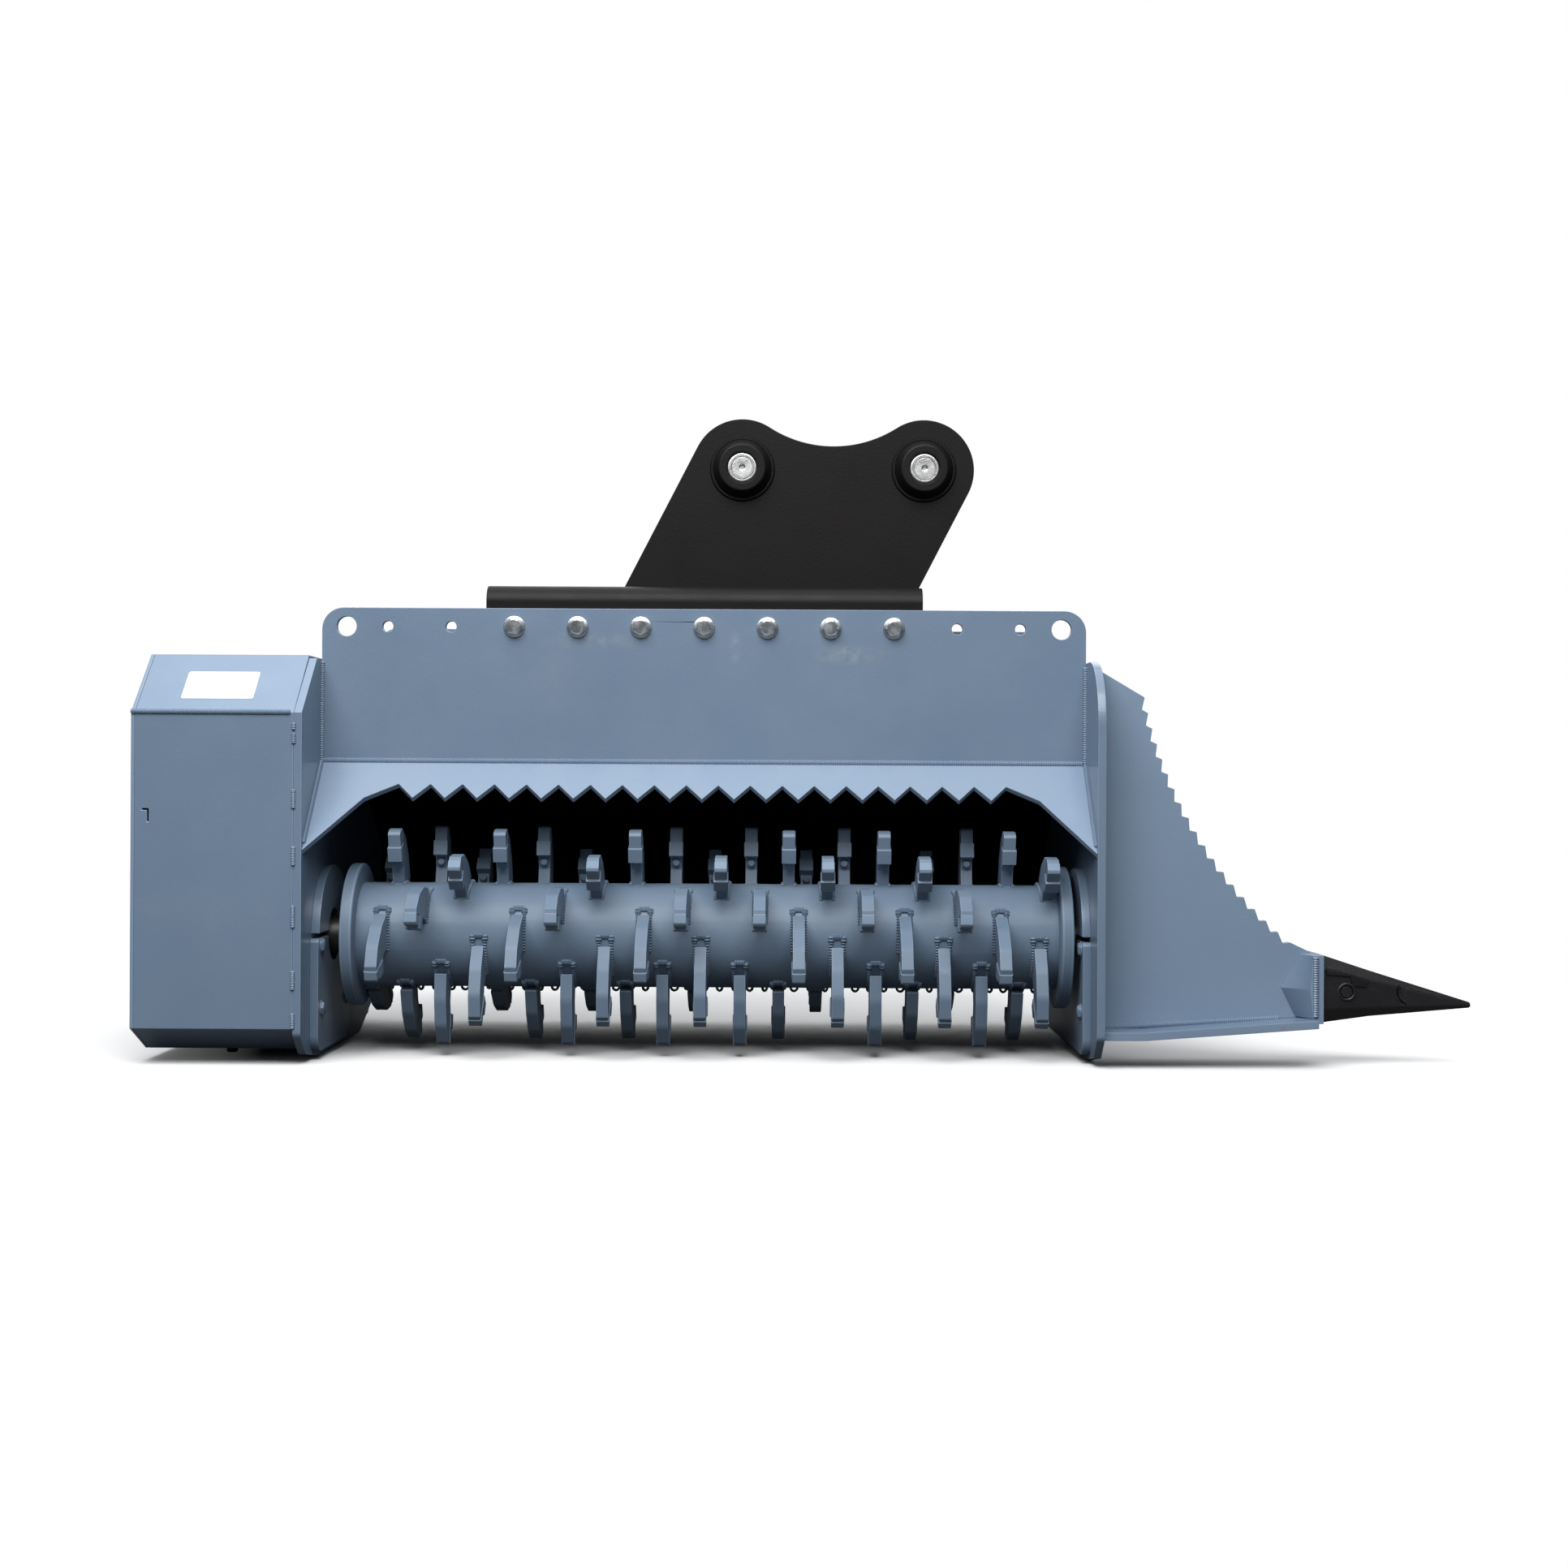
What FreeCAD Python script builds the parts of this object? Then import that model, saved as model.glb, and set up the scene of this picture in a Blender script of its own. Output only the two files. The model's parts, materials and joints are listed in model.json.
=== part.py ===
# A forestry mulcher head for an excavator, in millimetres.
# X runs along the rotor, from the belt housing to the ripper tooth. Y runs from the open
# front to the back, and Z is up. The shapes are laid out from a layout point at the middle
# of the rotor chamber, on its front edge and on the floor, and are stored about the bottom
# centre of the whole head.
#
# Two side plates carry everything: the sloping hood lip with its sawtooth edge, the bent
# shroud over the rotor, two drilled mounting plates, the belt housing on the left and the
# sawtooth wing with its ripper tooth on the right. A black saddle with two pinned ears is
# bolted between the mounting plates. The rotor is a steel tube with 72 fixed teeth in four
# mirrored helical rows, and it turns in two flanged bearings.
import FreeCAD, Part
import math
import os

# Chamber and side plates
inner_width = 1227.0
plate = 12.7
sheet = 9.5
side_depth = 690.0
side_height = 636.0
nose_radius = 105.0
toe_rise = 48.0
toe_run = 135.0
heel_radius = 45.0
weld_gap = 0.3

# Mounting plates
mount_front = 140.0
mount_gap = 458.3
mount_top = 720.0
mount_foot = 474.0
mount_corner = 35.0
hole_count = 11
hole_pitch = 101.6
hole_diameter = 17.5
hole_drop = 30.0
lift_diameter = 32.0
lift_inset = 39.5

# Hood lip, cut from one plate at 45 degrees
lip_pitch = 50.8
lip_peaks = 20
lip_peak_depth = 52.0
lip_tip_depth = 83.0

# Shroud over the rotor and the chain curtain behind it
shroud_break = 430.0
shroud_inset = 22.0
shroud_knee = 330.0
shroud_hem = 160.0
bend_radius = 19.0
curtain_pitch = 27.5
link_length = 45.0
link_width = 20.0
link_wire = 5.0
links_per_strand = 3
curtain_bar = 9.0
tab_count = 5
tab_thick = 8.0

# Rotor
rotor_y = 185.0
rotor_z = 193.0
rotor_shift = 9.0
rotor_face = 1119.0
drum_diameter = 168.3
drum_wall = 12.7
end_disc_diameter = 230.0
end_disc_thick = 20.0
shaft_diameter = 60.0
shaft_clearance = 0.06
helix_step = 61.5
helix_turn = 30.0
holder_width = 19.0
holder_sink = 1.0
blade_width = 20.0
shoe_width = 23.0
tip_reach = 178.0
blade_reach = 153.0
seat_reach = 129.0

# Bearings and their plates
bearing_plate = 13.0
bearing_plate_inset = 65.0
bearing_plate_floor = 14.0
saddle_radius = 112.0
saddle_gap = 8.0
hub_hole = 84.0
bearing_width = 46.0
bearing_diameter = 118.0
bearing_flange = 152.0
bearing_flange_thick = 16.0
shaft_stub = 62.0

# Belt housing
housing_width = 251.0
housing_sheet = 6.0
housing_top = 641.0
housing_floor = 18.0
top_chamfer_run = 105.0
top_chamfer_rise = 94.0
toe_chamfer_run = 85.0
toe_chamfer_rise = 40.0
slit_length = 18.0
slit_width = 2.5
slit_inset = 28.0
slit_height = 395.0

# Excavator bracket
saddle_length = 704.0
saddle_rise = 39.0
saddle_skirt = 100.0
saddle_bend = 15.0
ear_thick = 25.0
ear_gap = 230.0
pin_diameter = 50.0
pin_spacing = 300.0
pin_height = 201.0
pin_first = 58.0
pin_clearance = 0.3
lobe_radius = 83.0
valley_drop = 39.0
ear_lean = 27.2
collar_height = 25.0
collar_base = 100.0
collar_face = 76.0
pin_recess = 3.0
brace_height = 85.0
brace_thick = 16.0
brace_offset = 47.0

# Wing, its floor plate, and the ripper tooth
wing_front = 79.0
wing_top = 622.0
wing_shoulder_x = 71.6
wing_shoulder_drop = 42.4
wing_serration = 25.4
wing_teeth = 18
wing_notch = 8.5
wing_start_angle = -77.0
wing_radius = 690.0
wing_reach = 334.0
foot_front = 15.0
foot_depth = 140.0
foot_height = 45.0
foot_flat = 64.0
foot_rise = 20.0
end_plate_height = 107.0
end_plate_depth = 92.0
cheek_reach = 46.0
ripper_length = 241.0
ripper_root_depth = 76.0
ripper_pin_diameter = 19.0

# Hydraulic motor
motor_x = 26.0
motor_y = 356.0
motor_z = 574.0
motor_flange = 150.0
motor_diameter = 118.0
motor_body = 128.0
motor_cap = 46.0
port_diameter = 34.0

half_inner = inner_width / 2
shroud_back = side_depth - shroud_inset
half_outer = half_inner + plate
mount_back = mount_front + plate + mount_gap
bracket_y = mount_front + plate + mount_gap / 2
drum_radius = drum_diameter / 2
left_end = -half_outer - housing_width
ripper_root = half_outer + wing_reach + plate
right_end = ripper_root + ripper_length
hole_z = mount_top - hole_drop
saddle_top = mount_top + saddle_rise
pin_z = saddle_top + pin_height
pin_xs = [pin_first, pin_first + pin_spacing]
origin = FreeCAD.Vector((left_end + right_end) / 2, side_depth / 2, 0)


# Outlines and solids

def on_yz(x):
    """Lifts (y, z) to the plane at x."""
    return lambda u, v: FreeCAD.Vector(x, u, v)


def on_xz(y):
    """Lifts (x, z) to the plane at y."""
    return lambda u, v: FreeCAD.Vector(u, y, v)


def on_xy(z):
    """Lifts (x, y) to the plane at z."""
    return lambda u, v: FreeCAD.Vector(u, v, z)


def rounded_wire(corners, lift):
    """A closed wire through corners (u, v) or (u, v, radius), each radius a tangent arc."""
    count = len(corners)
    points = [FreeCAD.Vector(c[0], c[1], 0) for c in corners]
    radii = [c[2] if len(c) > 2 else 0.0 for c in corners]
    bends = []
    for i, point in enumerate(points):
        back = (points[i - 1] - point).normalize()
        ahead = (points[(i + 1) % count] - point).normalize()
        if radii[i] <= 0:
            bends.append((point, None, point))
            continue
        half = math.acos(max(-1.0, min(1.0, back.dot(ahead)))) / 2
        middle = (back + ahead).normalize()
        centre = point + middle * (radii[i] / math.sin(half))
        run = radii[i] / math.tan(half)
        bends.append((point + back * run, centre - middle * radii[i], point + ahead * run))
    edges = []
    for i, (start, top, end) in enumerate(bends):
        if top is not None:
            edges.append(Part.Arc(lift(start.x, start.y), lift(top.x, top.y), lift(end.x, end.y)).toShape())
        follow = bends[(i + 1) % count][0]
        if (follow - end).Length > 1e-6:
            edges.append(Part.LineSegment(lift(end.x, end.y), lift(follow.x, follow.y)).toShape())
    return Part.Wire(edges)


def plate_x(corners, x0, x1):
    """A plate with a (y, z) outline, from x0 to x1."""
    return Part.Face(rounded_wire(corners, on_yz(x0))).extrude(FreeCAD.Vector(x1 - x0, 0, 0))


def plate_y(corners, y0, y1):
    """A plate with an (x, z) outline, from y0 to y1."""
    return Part.Face(rounded_wire(corners, on_xz(y0))).extrude(FreeCAD.Vector(0, y1 - y0, 0))


def block(x0, x1, y0, y1, z0, z1):
    return Part.makeBox(x1 - x0, y1 - y0, z1 - z0, FreeCAD.Vector(x0, y0, z0))


def rod_x(x0, x1, y, z, radius):
    return Part.makeCylinder(radius, x1 - x0, FreeCAD.Vector(x0, y, z), FreeCAD.Vector(1, 0, 0))


def rod_y(y0, y1, x, z, radius):
    return Part.makeCylinder(radius, y1 - y0, FreeCAD.Vector(x, y0, z), FreeCAD.Vector(0, 1, 0))


def inset(corners, wall):
    """The corners of a convex outline, given counterclockwise, moved inwards by a wall."""
    moved = []
    for i, corner in enumerate(corners):
        before = corners[i - 1]
        after = corners[(i + 1) % len(corners)]
        first = FreeCAD.Vector(corner[0] - before[0], corner[1] - before[1], 0).normalize()
        second = FreeCAD.Vector(after[0] - corner[0], after[1] - corner[1], 0).normalize()
        normal = (FreeCAD.Vector(-first.y, first.x, 0) + FreeCAD.Vector(-second.y, second.x, 0)).normalize()
        reach = wall / normal.dot(FreeCAD.Vector(-first.y, first.x, 0))
        moved.append((corner[0] + normal.x * reach, corner[1] + normal.y * reach))
    return moved


def bent_strip(path, thick, bend):
    """The outline of a strip of plate whose left face follows a path, with round bends."""
    near = []
    far = []
    for i, (u, v) in enumerate(path):
        point = FreeCAD.Vector(u, v, 0)
        before = FreeCAD.Vector(*path[max(i - 1, 0)], 0)
        after = FreeCAD.Vector(*path[min(i + 1, len(path) - 1)], 0)
        ahead = (after - point) if i < len(path) - 1 else (point - before)
        back = (point - before) if i > 0 else ahead
        ahead.normalize()
        back.normalize()
        right = FreeCAD.Vector(back.y, -back.x, 0)
        mitre = (right + FreeCAD.Vector(ahead.y, -ahead.x, 0)).normalize()
        shifted = point + mitre * (thick / mitre.dot(right))
        turn = back.x * ahead.y - back.y * ahead.x
        radii = (0.0, 0.0)
        if abs(turn) > 1e-6:
            radii = (bend, bend + thick) if turn > 0 else (bend + thick, bend)
        near.append((u, v, radii[0]))
        far.append((shifted.x, shifted.y, radii[1]))
    return near + far[::-1]


def drilled(shape, holes):
    return shape.cut(Part.makeCompound(holes)) if holes else shape


# Side plates

def right_profile():
    return [
        (0, toe_rise, 12), (toe_run * 0.3, toe_rise * 0.3, 12), (toe_run, 0, 20),
        (side_depth, 0, heel_radius), (side_depth, side_height - 2 * nose_radius),
        (side_depth - nose_radius, side_height, 30), (0, side_height, nose_radius),
    ]


def left_profile():
    return [
        (0, toe_rise, 12), (toe_run * 0.3, toe_rise * 0.3, 12), (toe_run, 0, 20),
        (side_depth - 5 * heel_radius, 0, 4 * heel_radius), (side_depth, 2 * heel_radius, 30),
        (side_depth, side_height - 2 * nose_radius), (side_depth - nose_radius, side_height, 30),
        (top_chamfer_run, side_height), (0, housing_top - top_chamfer_rise),
    ]


def side_plate(profile, inside):
    """A side plate with the round window that the rotor shaft passes through."""
    outside = inside + math.copysign(plate, inside)
    shape = plate_x(profile, min(inside, outside), max(inside, outside))
    return shape.cut(rod_x(min(inside, outside) - 1, max(inside, outside) + 1, rotor_y, rotor_z, hub_hole / 2))


# Mounting plates, hood lip and shroud

def hole_xs():
    return [hole_pitch * (n - (hole_count - 1) / 2) for n in range(hole_count)]


def mounting_plate(y0, foot):
    corners = [
        (-half_inner, foot), (half_inner, foot),
        (half_inner, mount_top, mount_corner), (-half_inner, mount_top, mount_corner),
    ]
    holes = [rod_y(y0 - 1, y0 + plate + 1, x, hole_z, hole_diameter / 2) for x in hole_xs()]
    lifts = [rod_y(y0 - 1, y0 + plate + 1, x, hole_z, lift_diameter / 2)
             for x in (lift_inset - half_inner, half_inner - lift_inset)]
    return drilled(plate_y(corners, y0, y0 + plate), holes + lifts)


def hood_lip():
    """The plate that slopes from the mounting plate down to the side plates' front edges."""
    slope = mount_front * math.sqrt(2)
    first = -lip_pitch * (lip_peaks - 1) / 2
    edge = [(-half_inner, slope), (first - lip_pitch, lip_tip_depth)]
    for n in range(lip_peaks):
        edge.append((first + lip_pitch * n, lip_peak_depth))
        if n < lip_peaks - 1:
            edge.append((first + lip_pitch * (n + 0.5), lip_tip_depth))
    edge += [(lip_pitch - first, lip_tip_depth), (half_inner, slope)]
    corners = [(half_inner, 0), (-half_inner, 0)] + edge
    down = math.sqrt(0.5)

    def on_slope(u, v):
        return FreeCAD.Vector(u, mount_front - v * down, mount_foot - v * down)

    face = Part.Face(rounded_wire(corners, on_slope))
    return face.extrude(FreeCAD.Vector(0, sheet * down, -sheet * down))


def shroud():
    """One bent plate: roof, slope and back wall. Its front end is cut to fit the hood lip."""
    front = mount_front + weld_gap * math.sqrt(2)
    path = [
        (front, mount_foot), (shroud_break, mount_foot),
        (shroud_back, shroud_knee), (shroud_back, shroud_hem),
    ]
    outline = bent_strip(path, sheet, bend_radius)
    outline[-1] = (front + sheet, mount_foot - sheet)
    return plate_x(outline, -half_inner, half_inner)


def rear_plate_foot():
    """The height where the shroud's slope meets the front of the rear mounting plate."""
    fall = (mount_foot - shroud_knee) / (shroud_back - shroud_break)
    return mount_foot - (mount_back - shroud_break) * fall


def rear_mounting_plate():
    """The rear plate, cut along the shroud's slope."""
    foot = rear_plate_foot()
    fall = (mount_foot - shroud_knee) / (shroud_back - shroud_break)
    shape = mounting_plate(mount_back, foot - plate * fall)
    below = plate_x([(mount_back - 1, foot + fall), (mount_back - 1, 0), (mount_back + plate + 1, 0),
                     (mount_back + plate + 1, foot - (plate + 1) * fall)], -half_inner - 1, half_inner + 1)
    return shape.cut(below)


# Chain curtain

def chain_bar_place():
    return shroud_back - sheet - link_width / 2 - 4.0, shroud_hem + 2.0


def chain_link(y, z, across):
    """One square-cornered link about (0, y, z). It lies in the Y-Z plane, or across it."""
    half_l = link_length / 2
    half_w = link_width / 2
    half_t = link_wire / 2
    hole_l = half_l - link_wire
    hole_w = half_w - link_wire
    if across:
        outer = block(-half_w, half_w, y - half_t, y + half_t, z - half_l, z + half_l)
        return outer.cut(block(-hole_w, hole_w, y - half_t, y + half_t, z - hole_l, z + hole_l))
    outer = block(-half_t, half_t, y - half_w, y + half_w, z - half_l, z + half_l)
    return outer.cut(block(-half_t, half_t, y - hole_w, y + hole_w, z - hole_l, z + hole_l))


def strand_count():
    return int((inner_width - link_width / 2) / curtain_pitch)


def chain_curtain():
    """Strands of links on a square bar along the shroud's lower back edge, joined to the bar."""
    y, z = chain_bar_place()
    drop = link_length - 2 * link_wire
    top = z + curtain_bar / 2 - link_length / 2 + link_wire
    links = [chain_link(y, top - n * drop, n % 2 == 1) for n in range(links_per_strand)]
    strand = links[0].multiFuse(links[1:])
    strands = []
    for n in range(strand_count()):
        copy = strand.copy()
        copy.translate(FreeCAD.Vector(curtain_pitch * (n - (strand_count() - 1) / 2), 0, 0))
        strands.append(copy)
    half = curtain_bar / 2
    bar = block(-half_inner + 1, half_inner - 1, y - half, y + half, z - half, z + half)
    return bar.multiFuse(strands)


def chain_tabs():
    """The tabs that hang from the shroud's back wall and hold the bar between two strands."""
    y, z = chain_bar_place()
    reach = shroud_back - sheet - weld_gap
    half = curtain_bar / 2 + weld_gap
    tabs = []
    for n in range(tab_count):
        before = round(strand_count() * (n + 0.5) / tab_count)
        x0 = curtain_pitch * (before - strand_count() / 2) - tab_thick / 2
        outline = [(reach, z - 9), (reach, z + 40), (y - 9, z + 9, 6), (y - 9, z - 9, 8)]
        tab = plate_x(outline, x0, x0 + tab_thick)
        tabs.append(tab.cut(block(x0, x0 + tab_thick, y - half, y + half, z - half, z + half)))
    return Part.makeCompound(tabs)


# Rotor

# Each helical row starts at an apex tooth and runs both ways along the drum.
# angle: the apex tooth's angle above the front, apex: its x from the rotor's middle,
# left and right: how many teeth follow on each side
helix_rows = [
    # angle, apex, left, right
    (40.0, 22.0, 9, 8),
    (130.0, 6.0, 9, 8),
    (-50.0, -10.0, 8, 9),
    (-140.0, -26.0, 8, 9),
]


# The tooth's outlines, as (lead, radius): how far a corner leads the tooth's own radius in
# the turning direction, and how far it lies from the rotor's axis. A third number rounds it.
holder_outline = [
    (-66, 70), (-63, 112, 40), (-47, 152, 30), (-22, tip_reach - 2, 4), (-14, tip_reach - 2),
    (-14, seat_reach), (-6, seat_reach), (-14, seat_reach - 18, 4), (-10, 70),
]
blade_outline = [
    (-14, blade_reach), (4, blade_reach), (4, tip_reach - 4), (0, tip_reach), (-14, tip_reach),
]
shoe_outline = [
    (-14, seat_reach), (8, seat_reach), (8, blade_reach), (-14, blade_reach),
]


def tooth():
    """A hooked tooth at x = 0 that points to the front: a holder, a shoe and a blade."""

    def solid(outline, width):
        corners = [(rotor_y - c[1], rotor_z - c[0], *c[2:]) for c in outline]
        return plate_x(corners, -width / 2, width / 2)

    root = rod_x(-holder_width, holder_width, rotor_y, rotor_z, drum_radius - holder_sink)
    holder = solid(holder_outline, holder_width).cut(root)
    return holder.multiFuse([solid(blade_outline, blade_width), solid(shoe_outline, shoe_width)])


def tooth_row(angle, apex, left, right):
    """The teeth of one helical row."""
    pattern = tooth()
    axis_point = FreeCAD.Vector(0, rotor_y, rotor_z)
    teeth = []
    for n in range(-left, right + 1):
        copy = pattern.copy()
        copy.rotate(axis_point, FreeCAD.Vector(1, 0, 0), helix_turn * abs(n) - angle)
        copy.translate(FreeCAD.Vector(rotor_shift + apex + helix_step * n, 0, 0))
        teeth.append(copy)
    return teeth


def rotor_drum():
    """The tube with the teeth of all the rows welded on."""
    x0 = rotor_shift - rotor_face / 2
    tube = rod_x(x0, x0 + rotor_face, rotor_y, rotor_z, drum_radius)
    tube = tube.cut(rod_x(x0 - 1, x0 + rotor_face + 1, rotor_y, rotor_z, drum_radius - drum_wall))
    return tube.multiFuse([copy for row in helix_rows for copy in tooth_row(*row)])


def end_disc(side):
    """The guard disc on one end of the drum, with a chamfered rim."""
    inner_x = rotor_shift + side * rotor_face / 2
    outer_x = inner_x + side * end_disc_thick
    disc = rod_x(min(inner_x, outer_x), max(inner_x, outer_x), rotor_y, rotor_z, end_disc_diameter / 2)
    return disc.makeChamfer(2.0, [e for e in disc.Edges if isinstance(e.Curve, Part.Circle)])


def shaft(side):
    """The stub shaft from the guard disc out through the side plate and the bearing."""
    inner_x = rotor_shift + side * (rotor_face / 2 + end_disc_thick)
    outer_x = side * (half_outer + shaft_stub)
    stub = rod_x(min(inner_x, outer_x), max(inner_x, outer_x), rotor_y, rotor_z, shaft_diameter / 2)
    return stub


# Bearings

def bearing_cover(side):
    """The lower plate, bolted inside the side plate, that lets the rotor drop out."""
    inner_x = side * (half_inner - bearing_plate)
    outer_x = side * half_inner
    rear = 2 * rotor_y - bearing_plate_inset
    corners = [
        (bearing_plate_inset, bearing_plate_floor, 26), (rear, bearing_plate_floor, 26),
        (rear, rotor_z), (bearing_plate_inset, rotor_z, 8),
    ]
    shape = plate_x(corners, min(inner_x, outer_x), max(inner_x, outer_x))
    window = rod_x(min(inner_x, outer_x) - 1, max(inner_x, outer_x) + 1, rotor_y, rotor_z, hub_hole / 2)
    return shape.cut(window)


def bearing_saddle(side):
    """The upper half round, welded inside the side plate above the cover."""
    inner_x = side * (half_inner - bearing_plate)
    outer_x = side * half_inner
    x0 = min(inner_x, outer_x)
    disc = rod_x(x0, x0 + bearing_plate, rotor_y, rotor_z, saddle_radius)
    disc = disc.cut(rod_x(x0 - 1, x0 + bearing_plate + 1, rotor_y, rotor_z, hub_hole / 2))
    below = block(x0 - 1, x0 + bearing_plate + 1, rotor_y - 2 * saddle_radius, rotor_y + 2 * saddle_radius,
                  rotor_z - 2 * saddle_radius, rotor_z + saddle_gap)
    return disc.cut(below)


def bearing(side):
    """A flanged bearing on the outside of a side plate, with a domed housing."""
    face = side * half_outer
    flange_end = face + side * bearing_flange_thick
    body_end = face + side * bearing_width
    half = bearing_flange / 2
    corners = [
        (rotor_y - half, rotor_z - half, 22), (rotor_y + half, rotor_z - half, 22),
        (rotor_y + half, rotor_z + half, 22), (rotor_y - half, rotor_z + half, 22),
    ]
    flange = plate_x(corners, min(face, flange_end), max(face, flange_end))
    start = FreeCAD.Vector(flange_end, rotor_y, rotor_z)
    body = Part.makeCone(bearing_diameter / 2 + 8, bearing_diameter / 2, abs(body_end - flange_end), start,
                         FreeCAD.Vector(side, 0, 0))
    bore = rod_x(min(face, body_end) - 1, max(face, body_end) + 1, rotor_y, rotor_z,
                 shaft_diameter / 2 + shaft_clearance)
    return flange.fuse(body).cut(bore).removeSplitter()


# Belt housing

def housing_profile():
    return [
        (0, housing_floor + toe_chamfer_rise), (toe_chamfer_run, housing_floor),
        (side_depth - toe_chamfer_run, housing_floor), (side_depth, housing_floor + toe_chamfer_run),
        (side_depth, housing_top - top_chamfer_run), (side_depth - top_chamfer_run, housing_top),
        (top_chamfer_run, housing_top), (0, housing_top - top_chamfer_rise),
    ]


def belt_housing():
    """The folded sheet round the belt drive, with an L-shaped slit in its front."""
    profile = housing_profile()
    x0 = left_end + housing_sheet
    ring = plate_x(profile, x0, -half_outer).cut(
        plate_x(inset(profile, housing_sheet), x0 - 1, -half_outer + 1))
    slit_x = left_end + slit_inset
    slit_z = slit_height
    slit = block(slit_x - slit_length * 0.6, slit_x, -1, housing_sheet + 1, slit_z, slit_z + slit_width)
    leg = block(slit_x - slit_width, slit_x, -1, housing_sheet + 1, slit_z - slit_length, slit_z + slit_width)
    return ring.cut(slit.fuse(leg))


def belt_housing_cover():
    return plate_x(housing_profile(), left_end, left_end + housing_sheet)


# Excavator bracket

def bracket_saddle():
    """The bent channel bolted between the two mounting plates."""
    y0 = mount_front + plate
    y1 = mount_back
    foot = mount_top - saddle_skirt
    path = [(y0, foot), (y0, saddle_top), (y1, saddle_top), (y1, foot)]
    shape = plate_x(bent_strip(path, plate, saddle_bend), -saddle_length / 2, saddle_length / 2)
    holes = [rod_y(y0 - 1, y1 + 1, x, hole_z, hole_diameter / 2)
             for x in hole_xs() if abs(x) < saddle_length / 2 - hole_diameter]
    return drilled(shape, holes)


def ear_outline():
    """The ear's outline as a wire at y = 0: two lobes, a valley arc and two leaning sides."""
    left, right = pin_xs
    lean = math.radians(ear_lean)
    valley = ((pin_spacing / 2) ** 2 + valley_drop ** 2 - lobe_radius ** 2) / (2 * (lobe_radius - valley_drop))
    middle = (left + right) / 2
    valley_z = pin_z + valley_drop + valley
    tilt = math.atan2(valley_z - pin_z, pin_spacing / 2)

    def point(x, z):
        return FreeCAD.Vector(x, 0, z)

    def on_lobe(x, angle):
        return point(x + lobe_radius * math.cos(angle), pin_z + lobe_radius * math.sin(angle))

    left_side = on_lobe(left, math.pi - lean)
    right_side = on_lobe(right, -lean)
    left_foot = point(left_side.x - (left_side.z - saddle_top) * math.tan(lean), saddle_top)
    right_foot = point(right_side.x - (right_side.z - saddle_top) * math.tan(lean), saddle_top)
    left_valley = on_lobe(left, tilt)
    right_valley = on_lobe(right, math.pi - tilt)
    return Part.Wire([
        Part.LineSegment(left_foot, left_side).toShape(),
        Part.Arc(left_side, on_lobe(left, (math.pi - lean + tilt) / 2), left_valley).toShape(),
        Part.Arc(left_valley, point(middle, valley_z - valley), right_valley).toShape(),
        Part.Arc(right_valley, on_lobe(right, (math.pi - tilt - lean) / 2), right_side).toShape(),
        Part.LineSegment(right_side, right_foot).toShape(),
        Part.LineSegment(right_foot, left_foot).toShape(),
    ])


def ear_faces():
    """The y of each ear's outer face, front then rear."""
    return bracket_y - ear_gap / 2 - ear_thick, bracket_y + ear_gap / 2 + ear_thick


def bracket_ear(outer_y, inward):
    shape = Part.Face(ear_outline()).extrude(FreeCAD.Vector(0, inward * ear_thick, 0))
    shape.translate(FreeCAD.Vector(0, outer_y, 0))
    y0 = min(outer_y, outer_y + inward * ear_thick)
    return drilled(shape, [rod_y(y0 - 1, y0 + ear_thick + 1, x, pin_z, pin_diameter / 2 + pin_clearance)
                           for x in pin_xs])


def pin_collars():
    """Four coned collars on the outer faces of the ears, round the pins."""
    front, rear = ear_faces()
    collars = []
    for outer_y, out in ((front, -1), (rear, 1)):
        for x in pin_xs:
            start = FreeCAD.Vector(x, outer_y, pin_z)
            cone = Part.makeCone(collar_base / 2, collar_face / 2, collar_height, start, FreeCAD.Vector(0, out, 0))
            y0 = min(outer_y, outer_y + out * collar_height)
            collars.append(cone.cut(rod_y(y0 - 1, y0 + collar_height + 1, x, pin_z,
                                          pin_diameter / 2 + pin_clearance)))
    return Part.makeCompound(collars)


def bracket_pin(x):
    front, rear = ear_faces()
    y0 = front - collar_height + pin_recess
    y1 = rear + collar_height - pin_recess
    pin = rod_y(y0, y1, x, pin_z, pin_diameter / 2)
    return pin.makeChamfer(2.0, [e for e in pin.Edges if isinstance(e.Curve, Part.Circle)])


def bracket_brace():
    """The plate across the saddle that ties the two ears together below the pins."""
    x = pin_xs[0] + brace_offset
    return block(x, x + brace_thick, bracket_y - ear_gap / 2, bracket_y + ear_gap / 2,
                 saddle_top, saddle_top + brace_height)


# Wing and ripper tooth

def wing_edge():
    """The sawtooth points along the wing's hollow arc, from its shoulder down, as (x, z)."""
    turn = wing_serration / wing_radius
    points = []
    x = half_outer + wing_shoulder_x
    z = wing_top - wing_shoulder_drop
    heading = math.radians(wing_start_angle)
    for _ in range(wing_teeth):
        along = (math.cos(heading), math.sin(heading))
        inward = (along[1], -along[0])
        points.append((x, z))
        points.append((x + along[0] * wing_serration * 0.7 + inward[0] * wing_notch,
                       z + along[1] * wing_serration * 0.7 + inward[1] * wing_notch))
        x += along[0] * wing_serration
        z += along[1] * wing_serration
        heading += turn
    points.append((x, z))
    return points


def foot_top():
    """The upper line of the wing's floor plate, as (x, z)."""
    x1 = half_outer + wing_reach
    return [(half_outer, foot_height + plate), (half_outer + foot_flat, foot_height + plate),
            (x1, foot_height + foot_rise + plate)]


def wing():
    edge = wing_edge()
    tip_x = half_outer + wing_reach
    last = edge[-1]
    corners = foot_top() + [(tip_x, last[1] - 15.0)] + edge[::-1] + [(half_outer, wing_top)]
    return plate_y(corners, wing_front, wing_front + plate)


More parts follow.
